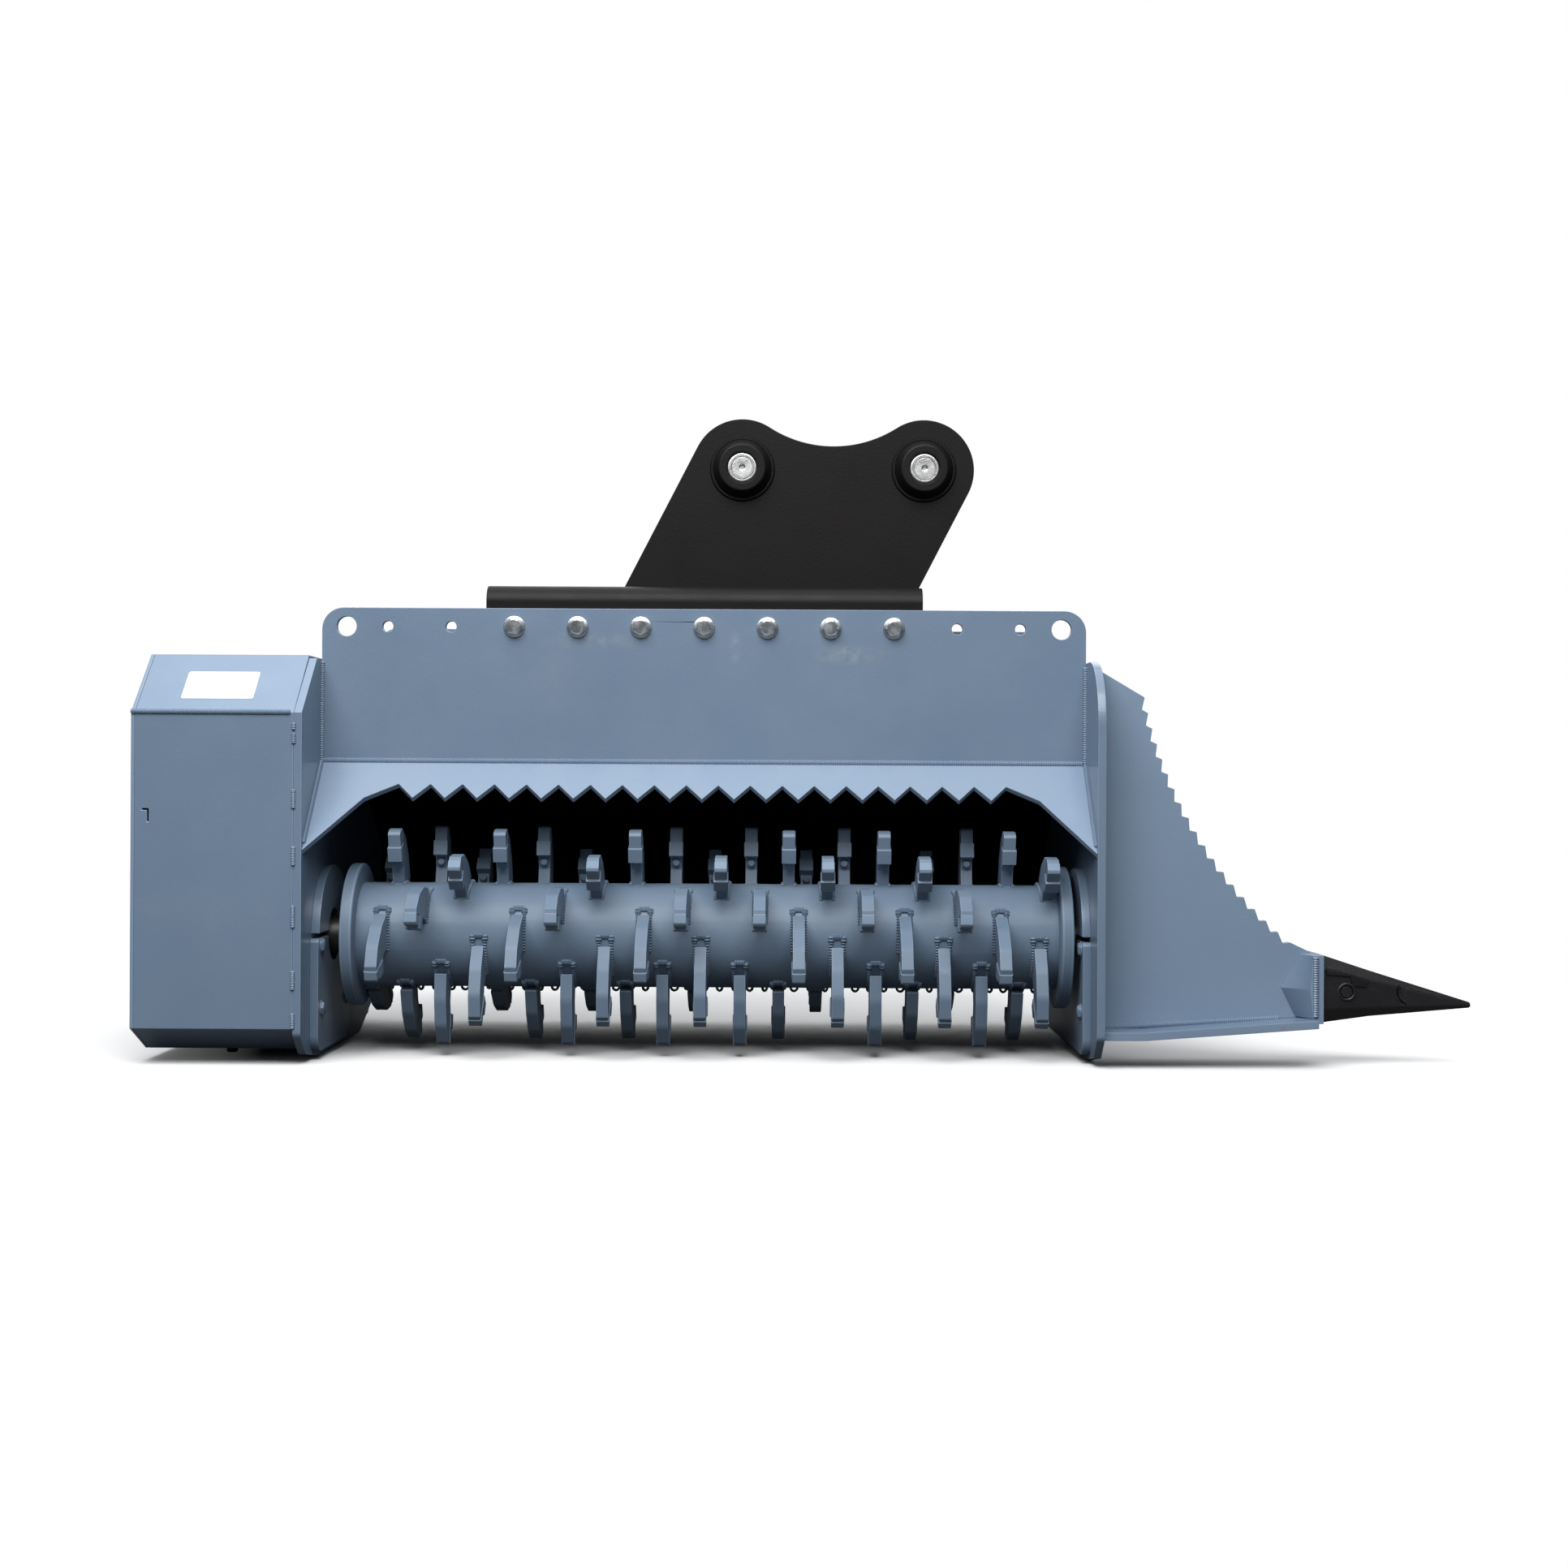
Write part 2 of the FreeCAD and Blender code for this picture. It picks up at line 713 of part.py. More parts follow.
def wing_foot():
    """The folded floor plate under the wing, cut off square at the tooth adapter."""
    outer_x = half_outer + wing_reach - weld_gap
    shape = plate_y(bent_strip(foot_top(), plate, 1.0), foot_front, foot_front + foot_depth)
    return shape.cut(block(outer_x, outer_x + plate, foot_front - 1, foot_front + foot_depth + 1,
                           foot_height, foot_height + 2 * foot_rise + plate))


def ripper_z():
    """The bottom and top of the ripper tooth's root."""
    bottom = foot_height + foot_rise + 5.0
    return bottom, bottom + end_plate_height


def tooth_adapter():
    """The end plate on the wing's point, with a cheek on each face of the wing."""
    bottom, top = ripper_z()
    x0 = half_outer + wing_reach
    middle = wing_front + plate / 2
    end = block(x0, x0 + plate, middle - end_plate_depth / 2, middle + end_plate_depth / 2, bottom, top)
    cheeks = []
    floor = foot_height + foot_rise + plate
    for face, out in ((wing_front, -1), (wing_front + plate, 1)):
        deep = end_plate_depth / 2 - plate / 2
        apex_z = (bottom + top) / 2
        tall = Part.makePolygon([FreeCAD.Vector(x0, face, floor), FreeCAD.Vector(x0, face, top),
                                 FreeCAD.Vector(x0 - cheek_reach * 0.35, face, top),
                                 FreeCAD.Vector(x0 - cheek_reach, face, apex_z),
                                 FreeCAD.Vector(x0 - cheek_reach * 0.5, face, floor),
                                 FreeCAD.Vector(x0, face, floor)])
        near = Part.makePolygon([FreeCAD.Vector(x0, face + out * deep, floor),
                                 FreeCAD.Vector(x0, face + out * deep, top),
                                 FreeCAD.Vector(x0 - 4.0, face + out * deep, top),
                                 FreeCAD.Vector(x0 - 8.0, face + out * deep, apex_z),
                                 FreeCAD.Vector(x0 - 4.0, face + out * deep, floor),
                                 FreeCAD.Vector(x0, face + out * deep, floor)])
        cheeks.append(Part.makeLoft([tall, near], True, True))
    return end.multiFuse(cheeks).removeSplitter()


# The ripper's sections along its length. share: how far along it lies, bottom and top:
# its height range above the root's bottom, depth: its width front to back
ripper_sections = [
    # share, bottom, top, depth
    (0.0, 0.0, 1.0, 1.0),
    (0.32, 0.094, 0.766, 0.78),
    (1.0, 0.215, 0.29, 0.22),
]


def ripper_section(share, low, high, depth):
    """An eight-sided section of the ripper, with chamfered corners."""
    bottom, _ = ripper_z()
    x = ripper_root + ripper_length * share
    z0 = bottom + end_plate_height * low
    z1 = bottom + end_plate_height * high
    half = ripper_root_depth * depth / 2
    middle = wing_front + plate / 2
    cut_z = (z1 - z0) * 0.2
    cut_y = half * 0.3
    corners = [
        (middle - half, z0 + cut_z), (middle - half + cut_y, z0), (middle + half - cut_y, z0),
        (middle + half, z0 + cut_z), (middle + half, z1 - cut_z), (middle + half - cut_y, z1),
        (middle - half + cut_y, z1), (middle - half, z1 - cut_z),
    ]
    points = [FreeCAD.Vector(x, y, z) for y, z in corners]
    return Part.makePolygon(points + points[:1])


def ripper_pin_place():
    bottom, _ = ripper_z()
    return ripper_root + ripper_length * 0.16, bottom + end_plate_height * 0.46


def ripper_tooth():
    wires = [ripper_section(*row) for row in ripper_sections]
    body = Part.makeLoft(wires, True, True)
    x, z = ripper_pin_place()
    middle = wing_front + plate / 2
    return body.cut(rod_y(middle - ripper_root_depth, middle + ripper_root_depth, x, z,
                          ripper_pin_diameter / 2 + weld_gap))


def ripper_pin():
    x, z = ripper_pin_place()
    middle = wing_front + plate / 2
    half = ripper_root_depth / 2 - 4.0
    return rod_y(middle - half, middle + half, x, z, ripper_pin_diameter / 2)


# Hydraulic motor

def hydraulic_motor():
    """A gear motor bolted to the left side plate, between the mounting plates."""
    x0 = -half_inner
    half = motor_flange / 2
    corners = [
        (motor_y - half, motor_z - half, 20), (motor_y + half, motor_z - half, 20),
        (motor_y + half, motor_z + half, 20), (motor_y - half, motor_z + half, 20),
    ]
    flange = plate_x(corners, x0, x0 + motor_x)
    body = rod_x(x0 + motor_x, x0 + motor_x + motor_body, motor_y, motor_z, motor_diameter / 2)
    end = x0 + motor_x + motor_body
    half_cap = motor_diameter / 2 + 6
    cap = plate_x([(motor_y - half_cap, motor_z - half_cap, 24), (motor_y + half_cap, motor_z - half_cap, 24),
                   (motor_y + half_cap, motor_z + half_cap, 24), (motor_y - half_cap, motor_z + half_cap, 24)],
                  end, end + motor_cap)
    return flange.multiFuse([body, cap]).removeSplitter()


def motor_ports():
    """Two capped hose unions on top of the motor's end block."""
    x = -half_inner + motor_x + motor_body + motor_cap / 2
    z = motor_z + motor_diameter / 2 + 6
    unions = []
    for y in (motor_y - 28, motor_y + 28):
        neck = Part.makeCylinder(port_diameter / 2 - 5, 14, FreeCAD.Vector(x, y, z))
        nut = Part.makeCylinder(port_diameter / 2, 16, FreeCAD.Vector(x, y, z + 14))
        unions.append(neck.fuse(nut))
    return Part.makeCompound(unions)


# Assembly

front_ear, rear_ear = ear_faces()
pieces = {
    "side_plate_left": side_plate(left_profile(), -half_inner),
    "side_plate_right": side_plate(right_profile(), half_inner),
    "mounting_plate_front": mounting_plate(mount_front, mount_foot),
    "mounting_plate_rear": rear_mounting_plate(),
    "hood_lip": hood_lip(),
    "shroud": shroud(),
    "chain_curtain": chain_curtain(),
    "chain_tabs": chain_tabs(),
    "belt_housing": belt_housing(),
    "belt_housing_cover": belt_housing_cover(),
    "bracket_saddle": bracket_saddle(),
    "bracket_ear_front": bracket_ear(front_ear, 1),
    "bracket_ear_rear": bracket_ear(rear_ear, -1),
    "bracket_brace": bracket_brace(),
    "pin_collars": pin_collars(),
    "dipper_pin": bracket_pin(pin_xs[0]),
    "link_pin": bracket_pin(pin_xs[1]),
    "wing": wing(),
    "wing_foot": wing_foot(),
    "tooth_adapter": tooth_adapter(),
    "ripper_tooth": ripper_tooth(),
    "ripper_pin": ripper_pin(),
    "hydraulic_motor": hydraulic_motor(),
    "motor_ports": motor_ports(),
    "rotor_drum": rotor_drum(),
}
for side, word in ((-1, "left"), (1, "right")):
    pieces["bearing_cover_" + word] = bearing_cover(side)
    pieces["bearing_saddle_" + word] = bearing_saddle(side)
    pieces["bearing_" + word] = bearing(side)
    pieces["end_disc_" + word] = end_disc(side)
    pieces["rotor_shaft_" + word] = shaft(side)

os.makedirs("parts", exist_ok=True)
for name, shape in pieces.items():
    shape.translate(-origin)
    shape.exportStep("parts/" + name + ".step")
    box = shape.BoundBox
    print("%-22s solids %3d faces %5d valid %s  x %7.1f %7.1f  y %7.1f %7.1f  z %7.1f %7.1f" % (
        name, len(shape.Solids), len(shape.Faces), shape.isValid(),
        box.XMin, box.XMax, box.YMin, box.YMax, box.ZMin, box.ZMax))
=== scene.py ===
"""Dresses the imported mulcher: paint, rounded plates, teeth, bolts, weld beads, chain and studio."""
import json
import math

import bpy
from bpy.props import FloatProperty, FloatVectorProperty, IntProperty, PointerProperty
from mathutils import Matrix, Vector

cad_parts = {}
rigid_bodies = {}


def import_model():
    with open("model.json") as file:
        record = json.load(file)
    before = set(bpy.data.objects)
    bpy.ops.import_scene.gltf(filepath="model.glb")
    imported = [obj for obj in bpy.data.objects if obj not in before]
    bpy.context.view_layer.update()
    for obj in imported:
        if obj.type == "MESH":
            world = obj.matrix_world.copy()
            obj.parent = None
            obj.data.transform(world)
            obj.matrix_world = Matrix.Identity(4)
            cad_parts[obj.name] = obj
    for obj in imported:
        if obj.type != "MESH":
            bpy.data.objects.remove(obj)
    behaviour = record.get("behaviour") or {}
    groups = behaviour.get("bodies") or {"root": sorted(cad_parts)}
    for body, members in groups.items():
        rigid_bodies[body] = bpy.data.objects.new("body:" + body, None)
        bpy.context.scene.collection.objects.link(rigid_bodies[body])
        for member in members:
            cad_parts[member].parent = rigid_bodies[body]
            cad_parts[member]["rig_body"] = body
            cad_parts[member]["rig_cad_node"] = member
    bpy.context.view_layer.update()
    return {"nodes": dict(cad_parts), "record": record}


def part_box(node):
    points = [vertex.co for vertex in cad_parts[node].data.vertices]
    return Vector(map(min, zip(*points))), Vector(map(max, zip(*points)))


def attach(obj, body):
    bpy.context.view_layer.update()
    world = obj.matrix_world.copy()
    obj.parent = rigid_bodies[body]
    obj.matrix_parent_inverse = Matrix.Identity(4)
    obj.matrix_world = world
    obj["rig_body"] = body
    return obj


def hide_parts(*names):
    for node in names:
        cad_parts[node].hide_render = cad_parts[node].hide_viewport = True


bl_info = {
    "name": "Mulcher dressing",
    "version": (1, 0, 0),
    "blender": (4, 5, 0),
    "location": "View3D > Sidebar > Mulcher",
    "description": "Paint, hardware, welds and studio for a forestry mulcher head",
    "category": "Object",
}

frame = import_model()
NODES = frame["nodes"]
PLATE_LOW, PLATE_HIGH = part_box("mounting_plate_front")
REAR_LOW, REAR_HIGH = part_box("mounting_plate_rear")
CHAMBER_X = (PLATE_LOW.x + PLATE_HIGH.x) / 2
FRONT_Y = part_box("side_plate_right")[0].y
HALF_INNER = (PLATE_HIGH.x - PLATE_LOW.x) / 2
PLATE = 0.0127
AXIS_Y = sum(corner.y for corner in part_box("rotor_shaft_right")) / 2
AXIS_Z = sum(corner.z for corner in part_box("rotor_shaft_right")) / 2


# Belt housing, its label and its fastenings
HOUSING_BEND = 0.547
TOP_CHAMFER_RUN = 0.105
TOP_CHAMFER_RISE = 0.094
LABEL_X = -0.751
LABEL_RISE = 0.0641
LABEL_WIDTH = 0.112
LABEL_HEIGHT = 0.066
HOUSING_STITCHES = [
    # foot's height, length
    (0.521, 0.012), (0.500, 0.016), (0.400, 0.030), (0.312, 0.030), (0.216, 0.034), (0.120, 0.030),
    (0.060, 0.024),
]
COVER_SCREWS = [
    # y from the front, z
    (0.045, 0.09), (0.045, 0.30), (0.045, 0.51), (0.345, 0.60), (0.200, 0.60), (0.490, 0.60),
    (0.645, 0.51), (0.645, 0.30), (0.645, 0.09), (0.200, 0.055), (0.345, 0.055), (0.490, 0.055),
]

# The raised rib on the ripper's flank
RIPPER_RIB = [
    # along the flank, z
    (0.006, 0.160), (0.076, 0.138), (0.070, 0.126), (0.048, 0.128), (0.044, 0.143), (0.006, 0.146),
]

# The rotor's tube, and its helical rows. angle: the apex tooth's angle above the front,
# apex: its x from the rotor's middle, left and right: how many teeth follow on each side
TUBE_RADIUS = 0.0842
HELIX_STEP = 0.0615
HELIX_TURN = 30.0
HELIX_ROWS = [
    # angle, apex, left, right
    (40.0, 0.022, 9, 8),
    (130.0, 0.006, 9, 8),
    (-50.0, -0.010, 8, 9),
    (-140.0, -0.026, 8, 9),
]


def spot(x, y, z):
    """A point given from the chamber's middle, its front edge and the floor, in metres."""
    return Vector((CHAMBER_X + x, FRONT_Y + y, z))


# Settings

def colour_setting(name, description, default):
    return FloatVectorProperty(name=name, description=description, subtype="COLOR", size=3,
                               min=0, max=1, default=default)


def length_setting(name, description, low, high, default):
    return FloatProperty(name=name, description=description, subtype="DISTANCE", unit="LENGTH",
                         min=low, max=high, default=default)


def power_setting(name, description, default):
    return FloatProperty(name=name, description=description, unit="POWER", min=0, max=2000,
                         default=default)


class PaintSettings(bpy.types.PropertyGroup):
    """Colours of the finishes."""
    body: colour_setting("Body paint", "Grey-blue enamel of the housing", (0.150, 0.215, 0.305))
    # Painted shade: the rotor's default colour is the body grey made about a tenth darker.
    rotor: colour_setting("Rotor paint", "Enamel of the rotor and its teeth", (0.135, 0.193, 0.270))
    bracket: colour_setting("Bracket paint", "Satin black of the bracket", (0.0065, 0.0055, 0.0060))
    zinc: colour_setting("Zinc", "Bright plating of the bolts", (0.80, 0.83, 0.86))
    steel: colour_setting("Steel", "Machined steel of the pins", (0.66, 0.66, 0.65))
    cast: colour_setting("Cast steel", "Black cast surface of the ripper tooth", (0.010, 0.010, 0.012))
    dust: colour_setting("Dust", "Dry dust that settles on the paint", (0.42, 0.42, 0.40))


class HardwareSettings(bpy.types.PropertyGroup):
    """Sizes of the small hardware."""
    edge_round: length_setting("Edge rounding", "Radius on the plates' cut edges",
                               0.0002, 0.003, 0.0010)
    bolt_width: length_setting("Bolt width", "Across the flats of the plate bolts", 0.01, 0.04, 0.0238)
    bolt_pitch: length_setting("Bolt pitch", "Distance between the plate bolts", 0.05, 0.2, 0.1016)
    bolt_drop: length_setting("Bolt drop", "From the plates' top edge to the bolts", 0.01, 0.1, 0.030)
    bolt_count: IntProperty(name="Bolt count", description="Bolts in each mounting plate",
                            min=1, max=11, default=7)
    weld_leg: length_setting("Weld leg", "Leg of the fillet welds", 0.002, 0.012, 0.005)
    link_wire: length_setting("Link wire", "Wire thickness of the curtain's links", 0.002, 0.01, 0.005)


class StudioSettings(bpy.types.PropertyGroup):
    """Camera and lamps."""
    lens: FloatProperty(name="Lens", description="Focal length on a 36 mm sensor, in millimetres",
                        min=10, max=300, default=49.19)
    distance: length_setting("Camera distance", "From the chamber's front edge", 1, 20, 3.30)
    height: length_setting("Camera height", "Above the floor", 0.01, 5, 0.44)
    offset: length_setting("Camera offset", "Sideways from the chamber's middle", -2, 2, 0.1295)
    roll: FloatProperty(name="Camera roll", description="Turn about the line of sight",
                        subtype="ANGLE", min=-0.1, max=0.1, default=math.radians(0.3))
    key: power_setting("Key lamp", "Power of the lamp above the front", 222)
    top: power_setting("Top lamp", "Power of the overhead lamp", 45)
    back: power_setting("Back lamp", "Power of the lamp behind the part", 40)
    sky: FloatProperty(name="Ambient", description="Strength of the ambient light",
                       min=0, max=3, default=0.42)


# Node groups

FLOAT = "NodeSocketFloat"
COLOUR = "NodeSocketColor"
VECTOR = "NodeSocketVector"


def new_group(name, inputs, outputs):
    """A shader group with named sockets, and its input and output nodes."""
    group = bpy.data.node_groups.new(name, "ShaderNodeTree")
    for label, kind, value in inputs:
        socket = group.interface.new_socket(label, in_out="INPUT", socket_type=kind)
        if value is not None:
            socket.default_value = value
    for label, kind in outputs:
        group.interface.new_socket(label, in_out="OUTPUT", socket_type=kind)
    return group, group.nodes.new("NodeGroupInput"), group.nodes.new("NodeGroupOutput")


def noise(tree, vector, scale, detail=4.0, roughness=0.55):
    """A noise texture. scale is a number or a socket."""
    node = tree.nodes.new("ShaderNodeTexNoise")
    tree.links.new(vector, node.inputs["Vector"])
    if isinstance(scale, bpy.types.NodeSocket):
        tree.links.new(scale, node.inputs["Scale"])
    else:
        node.inputs["Scale"].default_value = scale
    node.inputs["Detail"].default_value = detail
    node.inputs["Roughness"].default_value = roughness
    return node.outputs["Fac"]


def ramp(tree, value, low, high, out_low=0.0, out_high=1.0):
    """A value clamped and stretched from low..high to out_low..out_high."""
    node = tree.nodes.new("ShaderNodeMapRange")
    tree.links.new(value, node.inputs["Value"])
    limits = {"From Min": low, "From Max": high, "To Min": out_low, "To Max": out_high}
    for label, number in limits.items():
        node.inputs[label].default_value = number
    return node.outputs["Result"]


def maths(tree, operation, first, second):
    """A math node. Each operand is a number or a socket."""
    node = tree.nodes.new("ShaderNodeMath")
    node.operation = operation
    for index, value in enumerate((first, second)):
        if isinstance(value, bpy.types.NodeSocket):
            tree.links.new(value, node.inputs[index])
        else:
            node.inputs[index].default_value = value
    return node.outputs[0]


def vector_maths(tree, operation, *operands):
    """A vector math node on sockets."""
    node = tree.nodes.new("ShaderNodeVectorMath")
    node.operation = operation
    for index, value in enumerate(operands):
        tree.links.new(value, node.inputs[index])
    return node


def mix_colour(tree, factor, first, second, blend="MIX"):
    """A colour mix. factor is a number or a socket, and each colour a tuple or a socket."""
    node = tree.nodes.new("ShaderNodeMix")
    node.data_type = "RGBA"
    node.blend_type = blend
    for socket, value in ((node.inputs[0], factor), (node.inputs[6], first), (node.inputs[7], second)):
        if isinstance(value, bpy.types.NodeSocket):
            tree.links.new(value, socket)
        else:
            socket.default_value = value
    return node.outputs[2]


def build_tone_group():
    """Slow drift of a paint's tone over the surface."""
    group, source, result = new_group(
        "Tone drift",
        [("Vector", VECTOR, None), ("Colour", COLOUR, (1, 1, 1, 1)),
         ("Scale", FLOAT, 3.0), ("Amount", FLOAT, 0.1)],
        [("Colour", COLOUR)])
    slow = noise(group, source.outputs["Vector"], source.outputs["Scale"], 3.0)
    shade = ramp(group, slow, 0.3, 0.7)
    dark = mix_colour(group, 1.0, source.outputs["Colour"], (0.72, 0.74, 0.78, 1), "MULTIPLY")
    drift = maths(group, "MULTIPLY", shade, source.outputs["Amount"])
    group.links.new(mix_colour(group, drift, source.outputs["Colour"], dark), result.inputs["Colour"])
    return group


def build_dust_group():
    """Dust that lies in blotches, and thicker on what faces up."""
    group, source, result = new_group(
        "Settled dust",
        [("Vector", VECTOR, None), ("Colour", COLOUR, (1, 1, 1, 1)),
         ("Dust", COLOUR, (0.4, 0.4, 0.4, 1)), ("Scale", FLOAT, 9.0),
         ("Amount", FLOAT, 0.2)],
        [("Colour", COLOUR), ("Mask", FLOAT)])
    geometry = group.nodes.new("ShaderNodeNewGeometry")
    split = group.nodes.new("ShaderNodeSeparateXYZ")
    group.links.new(geometry.outputs["Normal"], split.inputs[0])
    upward = ramp(group, split.outputs["Z"], -0.2, 1.0, 0.25, 1.0)
    spots = noise(group, source.outputs["Vector"], source.outputs["Scale"], 6.0, 0.65)
    blotch = ramp(group, spots, 0.42, 0.75)
    mask = maths(group, "MULTIPLY", maths(group, "MULTIPLY", upward, blotch), source.outputs["Amount"])
    colour = mix_colour(group, mask, source.outputs["Colour"], source.outputs["Dust"])
    group.links.new(colour, result.inputs["Colour"])
    group.links.new(mask, result.inputs["Mask"])
    return group


def build_scratch_group():
    """Fine rubbed scratches, as a mask."""
    group, source, result = new_group(
        "Rubbed scratches",
        [("Vector", VECTOR, None), ("Scale", FLOAT, 30.0),
         ("Amount", FLOAT, 0.3)],
        [("Mask", FLOAT)])
    stretch = group.nodes.new("ShaderNodeMapping")
    group.links.new(source.outputs["Vector"], stretch.inputs["Vector"])
    stretch.inputs["Rotation"].default_value = (0.3, 0.5, 0.7)
    stretch.inputs["Scale"].default_value = (0.35, 1.0, 6.0)
    streaks = noise(group, stretch.outputs["Vector"], source.outputs["Scale"], 8.0, 0.7)
    lines = ramp(group, streaks, 0.60, 0.68)
    patch = ramp(group, noise(group, source.outputs["Vector"], 5.0, 2.0), 0.52, 0.62)
    mask = maths(group, "MULTIPLY", maths(group, "MULTIPLY", lines, patch), source.outputs["Amount"])
    group.links.new(mask, result.inputs["Mask"])
    return group


def build_grain_group():
    """A fine height: the orange peel of enamel or the skin of a casting."""
    group, source, result = new_group(
        "Surface grain",
        [("Vector", VECTOR, None), ("Scale", FLOAT, 200.0),
         ("Waviness", FLOAT, 0.3)],
        [("Height", FLOAT)])
    fine = noise(group, source.outputs["Vector"], source.outputs["Scale"], 2.0, 0.5)
    slow = noise(group, source.outputs["Vector"], 9.0, 1.0, 0.5)
    height = maths(group, "ADD", fine, maths(group, "MULTIPLY", slow, source.outputs["Waviness"]))
    group.links.new(height, result.inputs["Height"])
    return group


def build_smudge_group():
    """A patchy spot round a centre, as a mask."""
    group, source, result = new_group(
        "Smudge",
        [("Vector", VECTOR, None), ("Centre", VECTOR, (0, 0, 0)),
         ("Size", VECTOR, (1, 1, 1)), ("Amount", FLOAT, 0.5)],
        [("Mask", FLOAT)])
    away = vector_maths(group, "SUBTRACT", source.outputs["Vector"], source.outputs["Centre"])
    share = vector_maths(group, "DIVIDE", away.outputs[0], source.outputs["Size"])
    length = vector_maths(group, "LENGTH", share.outputs[0])
    patchy = ramp(group, noise(group, source.outputs["Vector"], 55.0, 6.0, 0.7), 0.40, 0.62)
    inside = ramp(group, length.outputs["Value"], 1.0, 0.2)
    mask = maths(group, "MULTIPLY", maths(group, "MULTIPLY", patchy, inside), source.outputs["Amount"])
    group.links.new(mask, result.inputs["Mask"])
    return group


def build_inner_shade_group():
    """Painted shade on a bent sheet's inside, as a mask where it faces down or to the front."""
    group, _, result = new_group("Painted inner shade", [], [("Mask", FLOAT)])
    geometry = group.nodes.new("ShaderNodeNewGeometry")
    split = group.nodes.new("ShaderNodeSeparateXYZ")
    group.links.new(geometry.outputs["True Normal"], split.inputs[0])
    facing_in = maths(group, "ADD", split.outputs["Y"], split.outputs["Z"])
    group.links.new(ramp(group, facing_in, 0.1, -0.3), result.inputs["Mask"])
    return group


GROUPS = {}
MATERIALS = {}


def group_node(tree, name, vector=None, **values):
    """Places a shared group in a material, with its own values."""
    node = tree.nodes.new("ShaderNodeGroup")
    node.node_tree = GROUPS[name]
    if vector is not None:
        tree.links.new(vector, node.inputs["Vector"])
    for label, value in values.items():
        if isinstance(value, bpy.types.NodeSocket):
            tree.links.new(value, node.inputs[label])
        else:
            node.inputs[label].default_value = value
    return node


def new_material(name):
    """An empty material with a shader, its output and object coordinates."""
    material = bpy.data.materials.new(name)
    material.use_nodes = True
    tree = material.node_tree
    shader = tree.nodes["Principled BSDF"]
    place = tree.nodes.new("ShaderNodeTexCoord").outputs["Object"]
    MATERIALS[name] = material
    return tree, shader, place


def add_bump(tree, shader, height, strength, distance):
    """A bump from a height, on the shader's normal."""
    bump = tree.nodes.new("ShaderNodeBump")
    bump.inputs["Strength"].default_value = strength
    bump.inputs["Distance"].default_value = distance
    tree.links.new(height, bump.inputs["Height"])
    tree.links.new(bump.outputs["Normal"], shader.inputs["Normal"])


def build_enamel(name, colour, drift, dust, rough, coat, scratch=0.04, edge_wear_and_highlight=0.35, shine=0.5,
                 marks=(), inside=None):
    """Sprayed enamel: drifting tone, dust, rubbed spots, pale edges that are faint wear and a painted
    highlight, and orange peel.

    marks are smudges as (centre, size, colour, amount). inside is the near-black colour of the
    painted shade on a sheet's inside.
    """
    paint = bpy.context.scene.mulcher_paint
    tree, shader, place = new_material(name)
    base = (*colour, 1)
    tone = group_node(tree, "Tone drift", place, Colour=base, Scale=2.4, Amount=drift)
    dusty = group_node(tree, "Settled dust", place, Colour=tone.outputs["Colour"],
                       Dust=(*paint.dust, 1), Scale=7.0, Amount=dust)
    rubbed = group_node(tree, "Rubbed scratches", place, Scale=26.0, Amount=scratch)
    pale = tuple(min(1.0, c * 1.5 + 0.05) for c in colour) + (1,)
    colour_out = mix_colour(tree, rubbed.outputs["Mask"], dusty.outputs["Colour"], pale)
    # Pale edges on the bevel strips: faint wear, and mostly a painted highlight along them.
    edge = tree.nodes.new("ShaderNodeAttribute")
    edge.attribute_name = "edge"
    paled = maths(tree, "MULTIPLY", edge.outputs["Fac"], edge_wear_and_highlight)
    colour_out = mix_colour(tree, paled, colour_out, pale)
    for centre, size, tint, amount in marks:
        smudge = group_node(tree, "Smudge", place, Centre=centre, Size=size, Amount=amount)
        colour_out = mix_colour(tree, smudge.outputs["Mask"], colour_out, (*tint, 1))
    # Painted shade: faces that look down or to the front are mixed to the near-black inside colour.
    if inside is not None:
        painted_inner_shade = group_node(tree, "Painted inner shade")
        colour_out = mix_colour(tree, painted_inner_shade.outputs["Mask"], colour_out, (*inside, 1))
    tree.links.new(colour_out, shader.inputs["Base Color"])
    uneven = ramp(tree, noise(tree, place, 11.0, 3.0), 0.3, 0.7, rough - 0.05, rough + 0.07)
    tree.links.new(maths(tree, "ADD", uneven, maths(tree, "MULTIPLY", dusty.outputs["Mask"], 0.35)),
                   shader.inputs["Roughness"])
    shader.inputs["Specular IOR Level"].default_value = shine
    shader.inputs["Coat Weight"].default_value = coat
    shader.inputs["Coat Roughness"].default_value = 0.12
    grain = group_node(tree, "Surface grain", place, Scale=240.0, Waviness=1.5)
    add_bump(tree, shader, grain.outputs["Height"], 0.10, 0.002)


def build_metal(name, colour, rough, scale, strength, dust=0.1):
    """Bare or plated steel: uneven gloss, dust and a fine grain."""
    paint = bpy.context.scene.mulcher_paint
    tree, shader, place = new_material(name)
    tone = group_node(tree, "Tone drift", place, Colour=(*colour, 1), Scale=24.0, Amount=0.5)
    dusty = group_node(tree, "Settled dust", place, Colour=tone.outputs["Colour"],
                       Dust=(*paint.dust, 1), Scale=40.0, Amount=dust)
    tree.links.new(dusty.outputs["Colour"], shader.inputs["Base Color"])
    shader.inputs["Metallic"].default_value = 1.0
    uneven = ramp(tree, noise(tree, place, 60.0, 4.0), 0.3, 0.7, rough - 0.08, rough + 0.10)
    tree.links.new(uneven, shader.inputs["Roughness"])
    grain = group_node(tree, "Surface grain", place, Scale=scale, Waviness=0.2)
    add_bump(tree, shader, grain.outputs["Height"], strength, 0.001)


